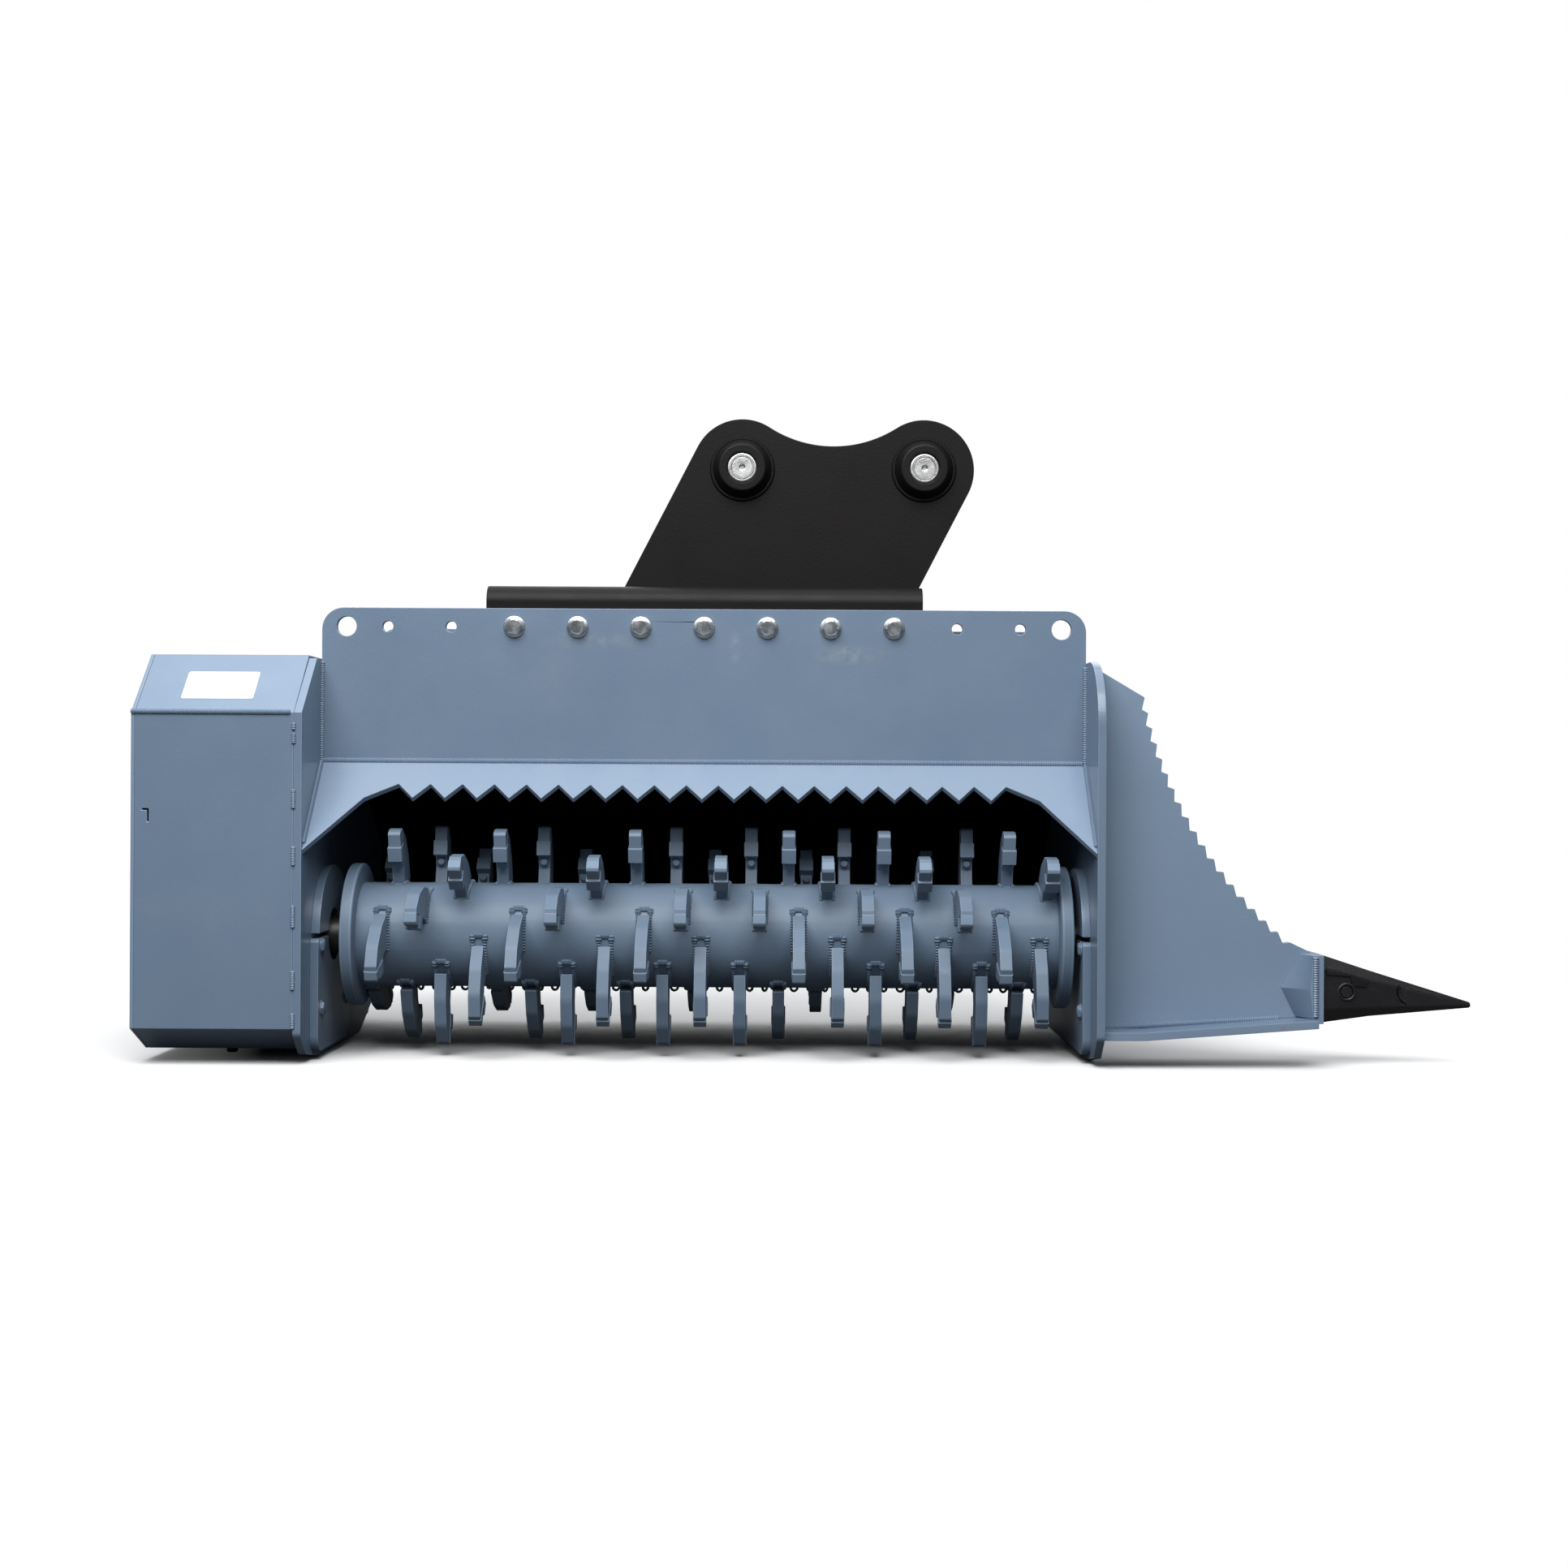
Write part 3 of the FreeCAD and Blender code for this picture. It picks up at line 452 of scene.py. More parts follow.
def build_cast(name, colour, rough):
    """A painted casting with a pitted skin."""
    tree, shader, place = new_material(name)
    tone = group_node(tree, "Tone drift", place, Colour=(*colour, 1), Scale=14.0, Amount=0.6)
    rubbed = group_node(tree, "Rubbed scratches", place, Scale=40.0, Amount=0.5)
    paled = mix_colour(tree, rubbed.outputs["Mask"], tone.outputs["Colour"], (0.09, 0.09, 0.10, 1))
    tree.links.new(paled, shader.inputs["Base Color"])
    uneven = ramp(tree, noise(tree, place, 26.0, 4.0), 0.3, 0.7, rough - 0.08, rough + 0.12)
    tree.links.new(uneven, shader.inputs["Roughness"])
    grain = group_node(tree, "Surface grain", place, Scale=420.0, Waviness=1.0)
    add_bump(tree, shader, grain.outputs["Height"], 0.35, 0.002)


def build_materials():
    """Builds the groups and every finish once."""
    paint = bpy.context.scene.mulcher_paint
    GROUPS["Tone drift"] = build_tone_group()
    GROUPS["Settled dust"] = build_dust_group()
    GROUPS["Rubbed scratches"] = build_scratch_group()
    GROUPS["Surface grain"] = build_grain_group()
    GROUPS["Smudge"] = build_smudge_group()
    GROUPS["Painted inner shade"] = build_inner_shade_group()
    chalk = (0.30, 0.33, 0.36)
    rust = (0.32, 0.13, 0.03)
    marks = [
        (spot(0.050, 0.140, 0.658), (0.012, 0.02, 0.030), chalk, 0.5),
        (spot(0.232, 0.140, 0.648), (0.060, 0.02, 0.020), chalk, 0.6),
        (spot(-0.170, 0.140, 0.668), (0.110, 0.02, 0.018), chalk, 0.35),
        (spot(0.903, 0.015, 0.066), (0.007, 0.01, 0.004), rust, 0.9),
    ]
    build_enamel("Body enamel", paint.body, 0.35, 0.16, 0.36, 0.25, marks=marks)
    # The shroud's inside gets a near-black painted shade.
    build_enamel("Shroud enamel with painted shade", paint.body, 0.35, 0.16, 0.60, 0.0, shine=0.1,
                 inside=(0.0025, 0.0025, 0.0035))
    # The rotor enamel is a darker copy of the body paint, a painted shade.
    build_enamel("Rotor enamel with painted shade", paint.rotor, 0.45, 0.12, 0.50, 0.04, shine=0.35)
    build_enamel("Bracket enamel", paint.bracket, 0.3, 0.006, 0.48, 0.02, 0.01, 0.03, 0.16)
    # The weld beads get the body grey made about an eighth lighter, a painted highlight along the
    # beads.
    build_enamel("Weld enamel with painted highlight", tuple(min(1.0, c * 1.12) for c in paint.body), 0.5, 0.2, 0.38, 0.2)
    build_metal("Zinc plate", paint.zinc, 0.24, 300.0, 0.10)
    build_metal("Machined steel", paint.steel, 0.34, 500.0, 0.20)
    build_metal("Chain steel", (0.11, 0.105, 0.10), 0.45, 300.0, 0.30, 0.2)
    build_cast("Cast steel", paint.cast, 0.42)
    build_enamel("Label film", (0.78, 0.79, 0.80), 0.15, 0.10, 0.42, 0.0, 0.1, 0.0)


# Modelling helpers

def only(*objects):
    """Selects these objects alone, and makes the first one active."""
    if bpy.context.object is not None and bpy.context.object.mode != "OBJECT":
        bpy.ops.object.mode_set(mode="OBJECT")
    bpy.ops.object.select_all(action="DESELECT")
    for item in objects:
        item.select_set(True)
    bpy.context.view_layer.objects.active = objects[0]


def settle(piece):
    """Puts the object's place into its mesh."""
    only(piece)
    bpy.ops.object.transform_apply(location=True, rotation=True, scale=True)


def apply_all(piece):
    """Applies every modifier of a piece."""
    only(piece)
    for modifier in list(piece.modifiers):
        bpy.ops.object.modifier_apply(modifier=modifier.name)


def add_modifier(piece, kind, **values):
    """Adds a modifier with its values."""
    modifier = piece.modifiers.new(kind.title(), kind)
    for label, value in values.items():
        setattr(modifier, label, value)
    return modifier


def finish(piece, name, material, body, smooth=True):
    """Names a settled piece, gives it its finish and lets it ride on a body."""
    settle(piece)
    piece.name = name
    piece.data.name = name
    piece.data.materials.clear()
    piece.data.materials.append(MATERIALS[material])
    if smooth:
        bpy.ops.object.shade_smooth_by_angle(angle=math.radians(32))
    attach(piece, body)
    return piece


def outline_prism(corners, thickness, lift):
    """A prism from an outline of (u, v) corners. lift(u, v, w) gives the point, w the depth."""
    count = len(corners)
    points = [lift(u, v, depth) for depth in (-thickness / 2, thickness / 2) for u, v in corners]
    faces = [tuple(range(count))[::-1], tuple(range(count, 2 * count))]
    faces += [(i, (i + 1) % count, count + (i + 1) % count, count + i) for i in range(count)]
    mesh = bpy.data.meshes.new("prism")
    mesh.from_pydata([tuple(p) for p in points], [], faces)
    prism = bpy.data.objects.new("prism", mesh)
    bpy.context.scene.collection.objects.link(prism)
    only(prism)
    bpy.ops.object.mode_set(mode="EDIT")
    bpy.ops.mesh.select_all(action="SELECT")
    bpy.ops.mesh.normals_make_consistent(inside=False)
    bpy.ops.object.mode_set(mode="OBJECT")
    return prism


def stamped(template, places):
    """One object with a copy of the template at each place, and the template removed."""
    copies = []
    for place in places:
        copy = template.copy()
        copy.data = template.data.copy()
        copy.data.transform(place)
        bpy.context.scene.collection.objects.link(copy)
        copies.append(copy)
    bpy.data.objects.remove(template)
    only(*copies)
    if len(copies) > 1:
        bpy.ops.object.join()
    return copies[0]


def facing(point, direction, spin=0.0):
    """A matrix that puts a +Z template at a point, turned to a direction and spun about it."""
    turn = Vector((0, 0, 1)).rotation_difference(Vector(direction)).to_matrix().to_4x4()
    return Matrix.Translation(point) @ turn @ Matrix.Rotation(spin, 4, "Z")


def round_edges(piece, width, segments=2, sharp=25.0):
    """Bevels the sharp edges and marks the new strips as edge."""
    only(piece)
    bpy.ops.object.mode_set(mode="EDIT")
    bpy.ops.mesh.select_mode(type="EDGE")
    bpy.ops.mesh.select_all(action="DESELECT")
    bpy.ops.mesh.edges_select_sharp(sharpness=math.radians(sharp))
    bpy.ops.mesh.bevel(offset=width, segments=segments, affect="EDGES", clamp_overlap=False)
    bpy.ops.object.mode_set(mode="OBJECT")
    marks = piece.data.attributes.new("edge", "FLOAT", "FACE")
    marks.data.foreach_set("value", [1.0 if face.select else 0.0 for face in piece.data.polygons])


def rounded_copy(node, material, body="frame", width=None, cutters=()):
    """A CAD node's shape with its triangles merged to faces, cut, and its edges rounded."""
    source = NODES[node]
    piece = source.copy()
    piece.data = source.data.copy()
    piece.parent = None
    bpy.context.scene.collection.objects.link(piece)
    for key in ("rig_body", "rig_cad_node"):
        if key in piece:
            del piece[key]
    only(piece)
    bpy.ops.object.mode_set(mode="EDIT")
    bpy.ops.mesh.select_all(action="SELECT")
    bpy.ops.mesh.remove_doubles(threshold=0.00002)
    bpy.ops.mesh.dissolve_limited(angle_limit=math.radians(0.4))
    bpy.ops.object.mode_set(mode="OBJECT")
    for label in ("custom_normal", "sharp_edge"):
        if label in piece.data.attributes:
            piece.data.attributes.remove(piece.data.attributes[label])
    for cutter in cutters:
        add_modifier(piece, "BOOLEAN", operation="DIFFERENCE", object=cutter, solver="EXACT")
        apply_all(piece)
        bpy.data.objects.remove(cutter)
    round_edges(piece, width or bpy.context.scene.mulcher_hardware.edge_round)
    finish(piece, node + "_dressed", material, body)
    add_modifier(piece, "WEIGHTED_NORMAL", keep_sharp=True, weight=100)
    apply_all(piece)
    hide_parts(node)
    return piece


# Hardware templates, each pointing up +Z from its seat

def hex_head(width, height, washer, washer_thick):
    """A hexagon head with a domed chamfer on a washer."""
    radius = width / math.sqrt(3)
    bpy.ops.mesh.primitive_cylinder_add(vertices=36, radius=washer / 2, depth=washer_thick,
                                        location=(0, 0, washer_thick / 2))
    disc = bpy.context.object
    add_modifier(disc, "BEVEL", width=washer_thick * 0.3, segments=2, limit_method="ANGLE")
    apply_all(disc)
    bpy.ops.mesh.primitive_cylinder_add(vertices=6, radius=radius, depth=height,
                                        location=(0, 0, washer_thick + height / 2))
    head = bpy.context.object
    bpy.ops.mesh.primitive_cone_add(vertices=36, radius1=radius * 1.45, radius2=radius * 0.72,
                                    depth=height * 1.02, location=(0, 0, washer_thick + height * 0.515))
    cone = bpy.context.object
    add_modifier(head, "BOOLEAN", operation="INTERSECT", object=cone, solver="EXACT")
    apply_all(head)
    bpy.data.objects.remove(cone)
    only(disc, head)
    bpy.ops.object.join()
    settle(bpy.context.object)
    return bpy.context.object


def plain_nut(width, height, stud_radius, stud_length):
    """A nut on the end of its bolt."""
    nut = hex_head(width, height, width * 1.45, height * 0.22)
    bpy.ops.mesh.primitive_cylinder_add(vertices=20, radius=stud_radius, depth=stud_length,
                                        location=(0, 0, stud_length / 2))
    stud = bpy.context.object
    add_modifier(stud, "BEVEL", width=stud_radius * 0.2, segments=2, limit_method="ANGLE")
    apply_all(stud)
    only(nut, stud)
    bpy.ops.object.join()
    settle(bpy.context.object)
    return bpy.context.object


def weld_scale(leg, segments=8, rings=6):
    """One ripple of a weld bead, a squashed ball."""
    bpy.ops.mesh.primitive_uv_sphere_add(segments=segments, ring_count=rings, radius=leg)
    scale = bpy.context.object
    scale.scale = (0.62, 1.0, 1.0)
    settle(scale)
    return scale


def weld_run(start, end, leg):
    """A straight bead from start to end, as overlapping ripples."""
    run = end - start
    step = leg * 0.72
    scale = weld_scale(leg)
    add_modifier(scale, "ARRAY", count=max(2, int(run.length / step)), use_relative_offset=False,
                 use_constant_offset=True, constant_offset_displace=(step, 0, 0))
    apply_all(scale)
    turn = Vector((1, 0, 0)).rotation_difference(run.normalized()).to_matrix().to_4x4()
    scale.data.transform(Matrix.Translation(start) @ turn)
    return scale


def weld_ring(middle, direction, radius, leg, start=0.0, end=360.0):
    """A bead along an arc round a direction, as overlapping ripples."""
    count = max(3, int(math.radians(abs(end - start)) * radius / (leg * 0.72)))
    seat = facing(middle, direction)
    places = []
    for n in range(count):
        turn = Matrix.Rotation(math.radians(start + (end - start) * n / count), 4, "Z")
        along = Matrix.Rotation(math.radians(90), 4, "Z")
        places.append(seat @ turn @ Matrix.Translation((radius, 0, 0)) @ along)
    return stamped(weld_scale(leg), places)


def rounded_rectangle(width, height, radius, steps=5):
    """The corners of a rounded rectangle about the origin, counterclockwise."""
    corners = []
    for quarter, (sign_x, sign_y) in enumerate(((1, 1), (-1, 1), (-1, -1), (1, -1))):
        for step in range(steps + 1):
            angle = math.radians(90 * (quarter + step / steps))
            corners.append((sign_x * (width / 2 - radius) + radius * math.cos(angle),
                            sign_y * (height / 2 - radius) + radius * math.sin(angle)))
    return corners


def joined(pieces):
    """Joins pieces to one object."""
    only(*pieces)
    if len(pieces) > 1:
        bpy.ops.object.join()
    return bpy.context.object


# Operators

class MULCHER_OT_stage(bpy.types.Operator):
    """Pale floor, soft lamps and the camera."""
    bl_idname = "mulcher.stage"
    bl_label = "Stage"

    def execute(self, context):
        studio = context.scene.mulcher_studio
        context.scene.view_settings.view_transform = "Standard"
        self.light_world(context, studio)
        self.lay_floor()
        middle = spot(0.1, 0.3, 0.35)
        self.hang_lamp("Key", spot(-0.4, -2.5, 3.3), middle, (4.0, 2.4), studio.key)
        self.hang_lamp("Top", spot(-0.2, 0.4, 3.3), middle, (3.6, 2.6), studio.top)
        self.hang_lamp("Back", spot(0.6, 3.4, 2.6), middle, (3.0, 2.0), studio.back)
        self.set_camera(context, studio)
        return {"FINISHED"}

    def light_world(self, context, studio):
        """Ambient light for the object, and plain white for the camera."""
        world = bpy.data.worlds.new("Studio air")
        world.use_nodes = True
        context.scene.world = world
        tree = world.node_tree
        tree.nodes.clear()
        output = tree.nodes.new("ShaderNodeOutputWorld")
        mix = tree.nodes.new("ShaderNodeMixShader")
        ambient = tree.nodes.new("ShaderNodeBackground")
        place = tree.nodes.new("ShaderNodeTexCoord")
        split = tree.nodes.new("ShaderNodeSeparateXYZ")
        tree.links.new(place.outputs["Generated"], split.inputs[0])
        lift = ramp(tree, split.outputs["Z"], -0.05, 0.8, 0.15, 1.0)
        air = mix_colour(tree, lift, (0, 0, 0, 1), (0.94, 0.97, 1.0, 1))
        tree.links.new(air, ambient.inputs["Color"])
        ambient.inputs["Strength"].default_value = studio.sky
        white = tree.nodes.new("ShaderNodeBackground")
        white.inputs["Color"].default_value = (1, 1, 1, 1)
        path = tree.nodes.new("ShaderNodeLightPath")
        tree.links.new(path.outputs["Is Camera Ray"], mix.inputs["Fac"])
        tree.links.new(ambient.outputs["Background"], mix.inputs[1])
        tree.links.new(white.outputs["Background"], mix.inputs[2])
        tree.links.new(mix.outputs["Shader"], output.inputs["Surface"])

    def lay_floor(self):
        """A wide floor. It is shaded near the part, and plain white further out."""
        bpy.ops.mesh.primitive_plane_add(size=80, location=(0, 0, 0))
        floor = bpy.context.object
        settle(floor)
        floor.name = "studio_floor"
        tree, shader, place = new_material("Studio floor")
        path = tree.nodes.new("ShaderNodeLightPath")
        seen = path.outputs["Is Camera Ray"]
        tree.links.new(mix_colour(tree, seen, (0.10, 0.10, 0.10, 1), (0.93, 0.93, 0.93, 1)),
                       shader.inputs["Base Color"])
        shader.inputs["Roughness"].default_value = 1.0
        shader.inputs["Specular IOR Level"].default_value = 0.0
        length = vector_maths(tree, "LENGTH", place)
        far = ramp(tree, length.outputs["Value"], 0.9, 2.4)
        glow = tree.nodes.new("ShaderNodeEmission")
        blend = tree.nodes.new("ShaderNodeMixShader")
        tree.links.new(maths(tree, "MULTIPLY", far, seen), blend.inputs["Fac"])
        tree.links.new(shader.outputs["BSDF"], blend.inputs[1])
        tree.links.new(glow.outputs["Emission"], blend.inputs[2])
        tree.links.new(blend.outputs["Shader"], tree.nodes["Material Output"].inputs["Surface"])
        floor.data.materials.append(MATERIALS["Studio floor"])

    def hang_lamp(self, name, place, target, size, power):
        """A rectangular soft lamp aimed at a point."""
        bpy.ops.object.light_add(type="AREA", location=place)
        lamp = bpy.context.object
        lamp.name = name
        lamp.data.shape = "RECTANGLE"
        lamp.data.size, lamp.data.size_y = size
        lamp.data.energy = power
        lamp.rotation_euler = (target - place).to_track_quat("-Z", "Y").to_euler()

    def set_camera(self, context, studio):
        """A level camera in front of the chamber, with the photograph's slight roll."""
        bpy.ops.object.camera_add(location=spot(studio.offset, -studio.distance, studio.height))
        camera = bpy.context.object
        look = Matrix.Rotation(math.radians(90), 4, "X") @ Matrix.Rotation(studio.roll, 4, "Z")
        camera.rotation_euler = look.to_euler()
        camera.data.lens = studio.lens
        camera.data.sensor_width = 36.0
        camera.data.clip_end = 100.0
        context.scene.camera = camera


class MULCHER_OT_paint(bpy.types.Operator):
    """Finishes on the CAD nodes that stay as they are."""
    bl_idname = "mulcher.paint"
    bl_label = "Paint"

    def execute(self, context):
        build_materials()
        slots = {part["node"]: part["material_slot"] for part in frame["record"]["subparts"]}
        finishes = {
            "housing_paint": "Body enamel", "rotor_paint": "Rotor enamel with painted shade",
            "bracket_black": "Bracket enamel", "motor_black": "Bracket enamel",
            "pin_steel": "Machined steel", "chain_steel": "Chain steel", "ripper_cast": "Cast steel",
        }
        for name, node in NODES.items():
            node.data.materials.clear()
            node.data.materials.append(MATERIALS[finishes[slots[name]]])
        return {"FINISHED"}


class MULCHER_OT_plates(bpy.types.Operator):
    """Plates and sheets with rounded cut edges."""
    bl_idname = "mulcher.plates"
    bl_label = "Plates"

    def execute(self, context):
        for node in ("side_plate_left", "side_plate_right", "mounting_plate_front",
                     "mounting_plate_rear", "hood_lip", "wing", "wing_foot", "tooth_adapter",
                     "bearing_cover_left", "bearing_cover_right", "bearing_saddle_left",
                     "bearing_saddle_right", "chain_tabs"):
            rounded_copy(node, "Body enamel")
        rounded_copy("shroud", "Shroud enamel with painted shade")
        for node in ("bearing_left", "bearing_right"):
            rounded_copy(node, "Body enamel", width=0.0015)
        return {"FINISHED"}


class MULCHER_OT_rotor(bpy.types.Operator):
    """Rounded rotor, guard discs and shafts, with the beads along the teeth."""
    bl_idname = "mulcher.rotor"
    bl_label = "Rotor"

    def execute(self, context):
        rounded_copy("rotor_drum", "Rotor enamel with painted shade", "rotor", 0.0012)
        for side in ("left", "right"):
            rounded_copy("end_disc_" + side, "Rotor enamel with painted shade", "rotor", 0.0020)
            rounded_copy("rotor_shaft_" + side, "Chain steel", "rotor", 0.0015)
        self.lay_beads()
        return {"FINISHED"}

    def lay_beads(self):
        """Beads round each tooth's foot and a bolt under its shoe, in mirrored helical rows."""
        middle = (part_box("end_disc_right")[0].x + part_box("end_disc_left")[1].x) / 2
        ripples = []
        for side in (-0.0097, 0.0097):
            ripples += [(side, degrees, 90) for degrees in range(-52, -6, 3)]
        ripples += [(x, -53, 0) for x in (-0.006, -0.002, 0.002, 0.006)]
        template = []
        for x, degrees, spin in ripples:
            angle = math.radians(degrees)
            along = Matrix.Rotation(angle, 4, "X") @ Matrix.Rotation(math.radians(spin), 4, "Y")
            point = Vector((x, -TUBE_RADIUS * math.cos(angle), -TUBE_RADIUS * math.sin(angle)))
            swell = Matrix.Scale(1.5 if degrees < -48 else 1.0, 4)
            template.append(Matrix.Translation(point) @ along @ swell)
        beads = stamped(weld_scale(0.0036, 6, 4), template)
        bolt = hex_head(0.0115, 0.005, 0.0125, 0.003)
        bolt.data.transform(facing(Vector((0, -0.1200, 0.0115)), (0, 0, -1), 0.3))
        feet = joined([beads, bolt])
        places = []
        for angle, apex, left, right in HELIX_ROWS:
            for n in range(-left, right + 1):
                turn = Matrix.Rotation(math.radians(HELIX_TURN * abs(n) - angle), 4, "X")
                point = Vector((middle + apex + HELIX_STEP * n, AXIS_Y, AXIS_Z))
                places.append(Matrix.Translation(point) @ turn)
        finish(stamped(feet, places), "tooth_welds", "Rotor enamel with painted shade", "rotor")


class MULCHER_OT_bracket(bpy.types.Operator):
    """Rounded excavator bracket with its collars, pins and welds."""
    bl_idname = "mulcher.bracket"
    bl_label = "Bracket"

    def execute(self, context):
        for node in ("bracket_saddle", "bracket_ear_front", "bracket_ear_rear", "bracket_brace"):
            rounded_copy(node, "Bracket enamel", width=0.0015)
        rounded_copy("pin_collars", "Bracket enamel", width=0.0020)
        for node in ("dipper_pin", "link_pin"):
            self.turn_pin(node)
        self.lay_beads(context.scene.mulcher_hardware.weld_leg)
        return {"FINISHED"}

    def turn_pin(self, node):
        """A pin with a centre hole and a turned groove in each end."""
        low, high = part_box(node)
        x = (low.x + high.x) / 2
        z = (low.z + high.z) / 2
        cutters = []
        for y in (low.y, high.y):
            bpy.ops.mesh.primitive_cylinder_add(vertices=32, radius=0.0045, depth=0.008,
                                                location=(x, y, z), rotation=(math.radians(90), 0, 0))
            cutters.append(bpy.context.object)
            bpy.ops.mesh.primitive_torus_add(major_segments=48, minor_segments=8, major_radius=0.0185,
                                             minor_radius=0.0008, location=(x, y, z),
                                             rotation=(math.radians(90), 0, 0))
            cutters.append(bpy.context.object)
        rounded_copy(node, "Machined steel", width=0.0015, cutters=cutters)

    def lay_beads(self, leg):
        """Beads under the ears and round the collars."""
        beads = []
        for node, out in (("bracket_ear_front", -1), ("bracket_ear_rear", 1)):
            low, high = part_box(node)
            face = low.y if out < 0 else high.y
            foot = self.foot_span(node, low.z)
            beads.append(weld_run(Vector((foot[0], face, low.z)), Vector((foot[1], face, low.z)), leg))
            for pin in ("dipper_pin", "link_pin"):
                pin_low, pin_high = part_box(pin)
                middle = Vector(((pin_low.x + pin_high.x) / 2, face, (pin_low.z + pin_high.z) / 2))
                beads.append(weld_ring(middle, (0, out, 0), 0.050, leg * 0.8))
        finish(joined(beads), "bracket_welds", "Bracket enamel", "frame")

    def foot_span(self, node, floor):
        """The least and greatest x of a node's corners on its floor."""
        xs = [v.co.x for v in NODES[node].data.vertices if v.co.z < floor + 0.001]
        return min(xs), max(xs)


class MULCHER_OT_housing(bpy.types.Operator):
    """Rounded belt housing with its bend bead, stitches, label and screws."""
    bl_idname = "mulcher.housing"
    bl_label = "Belt housing"

    def execute(self, context):
        for node in ("belt_housing", "belt_housing_cover"):
            rounded_copy(node, "Body enamel", width=0.0015)
        low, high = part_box("belt_housing")
        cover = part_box("belt_housing_cover")[0]
        self.lay_beads(cover, high)
        self.lay_label()
        self.drive_screws(cover, low)
        return {"FINISHED"}

    def lay_beads(self, cover, high):
        """The bead along the upper bend, and stitches on the side plate."""
        bend_end = Vector((high.x - 0.004, FRONT_Y, HOUSING_BEND))
        beads = [weld_run(Vector((cover.x + 0.002, FRONT_Y, HOUSING_BEND)), bend_end, 0.0042)]
        for z, length in HOUSING_STITCHES:
            start = Vector((high.x, FRONT_Y, z))
            beads.append(weld_run(start, start + Vector((0, 0, length)), 0.0036))
        for z in (0.09, 0.20, 0.32, 0.44):
            start = Vector((cover.x + 0.006, FRONT_Y + 0.004, z))
            beads.append(weld_run(start, start + Vector((0, 0, 0.030)), 0.0022))
        finish(joined(beads), "housing_welds", "Weld enamel with painted highlight", "frame")

    def lay_label(self):
        """A blank white film on the sloping top."""
        foot = spot(LABEL_X, 0.0, HOUSING_BEND)
        slope = Vector((0, TOP_CHAMFER_RUN, TOP_CHAMFER_RISE)).normalized()
        out = Vector((1, 0, 0)).cross(slope)
        middle = foot + slope * LABEL_RISE
        corners = rounded_rectangle(LABEL_WIDTH, LABEL_HEIGHT, 0.004)
        film = outline_prism(corners, 0.0005, lambda u, v, w: (
            middle + Vector((u, 0, 0)) + slope * v + out * (w + 0.0003)))
        finish(film, "blank_label", "Label film", "frame", smooth=False)

    def drive_screws(self, cover, low):
        """Screws round the end cover, and the two bolt heads under the floor."""
        places = [facing(Vector((cover.x, FRONT_Y + y, z)), (-1, 0, 0), y * 9 + z * 17)
                  for y, z in COVER_SCREWS]
        screw = hex_head(0.016, 0.006, 0.024, 0.002)
        finish(stamped(screw, places), "cover_screws", "Zinc plate", "frame")
        heads = [facing(spot(x, y, low.z), (0, 0, -1), x) for x in (-0.746, -0.643)
                 for y in (0.110, 0.580)]
        head = hex_head(0.017, 0.007, 0.024, 0.0015)
        finish(stamped(head, heads), "floor_bolts", "Bracket enamel", "frame")


class MULCHER_OT_ripper(bpy.types.Operator):
    """Ripper tooth with its ribs, recess and pin."""
    bl_idname = "mulcher.ripper"
    bl_label = "Ripper"

    def execute(self, context):
        low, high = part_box("ripper_tooth")
        middle = (low.y + high.y) / 2
        cutters = []
        for side in (-1, 1):
            bpy.ops.mesh.primitive_cylinder_add(vertices=40, radius=0.020, depth=0.012,
                                                location=(low.x + 0.146, middle + side * 0.0255, 0.119),
                                                rotation=(math.radians(90), 0, 0))
            cutter = bpy.context.object
            cutter.scale = (1.25, 1.0, 0.62)
            settle(cutter)
            cutters.append(cutter)
        rounded_copy("ripper_tooth", "Cast steel", width=0.0030, cutters=cutters)
        rounded_copy("ripper_pin", "Cast steel", width=0.0015)
        self.add_ribs(low, middle)
        return {"FINISHED"}

    def add_ribs(self, low, middle):
        """Raised ribs and a pin boss on each flank. Places run along the flank's slope."""
        parts = []
        for side in (-1, 1):
            root = Vector((low.x, middle + side * 0.0380, 0))
            lean = Vector((0.0771, -side * 0.0084, 0)).normalized()
            out = Vector((0, side, 0))
            parts.append(outline_prism(RIPPER_RIB, 0.005, lambda u, v, w: (
                root + lean * u + Vector((0, 0, v)) + out * w)))
            bpy.ops.mesh.primitive_torus_add(major_segments=36, minor_segments=10, major_radius=0.0125,
                                             minor_radius=0.0024, rotation=(math.radians(90), 0, 0),
                                             location=root + lean * 0.0386 + Vector((0, 0, 0.1192)))
            parts.append(bpy.context.object)
        for part in parts:
            settle(part)
            if len(part.data.vertices) < 40:
                add_modifier(part, "BEVEL", width=0.0015, segments=2, limit_method="ANGLE")
                apply_all(part)
        finish(joined(parts), "ripper_ribs", "Cast steel", "frame")


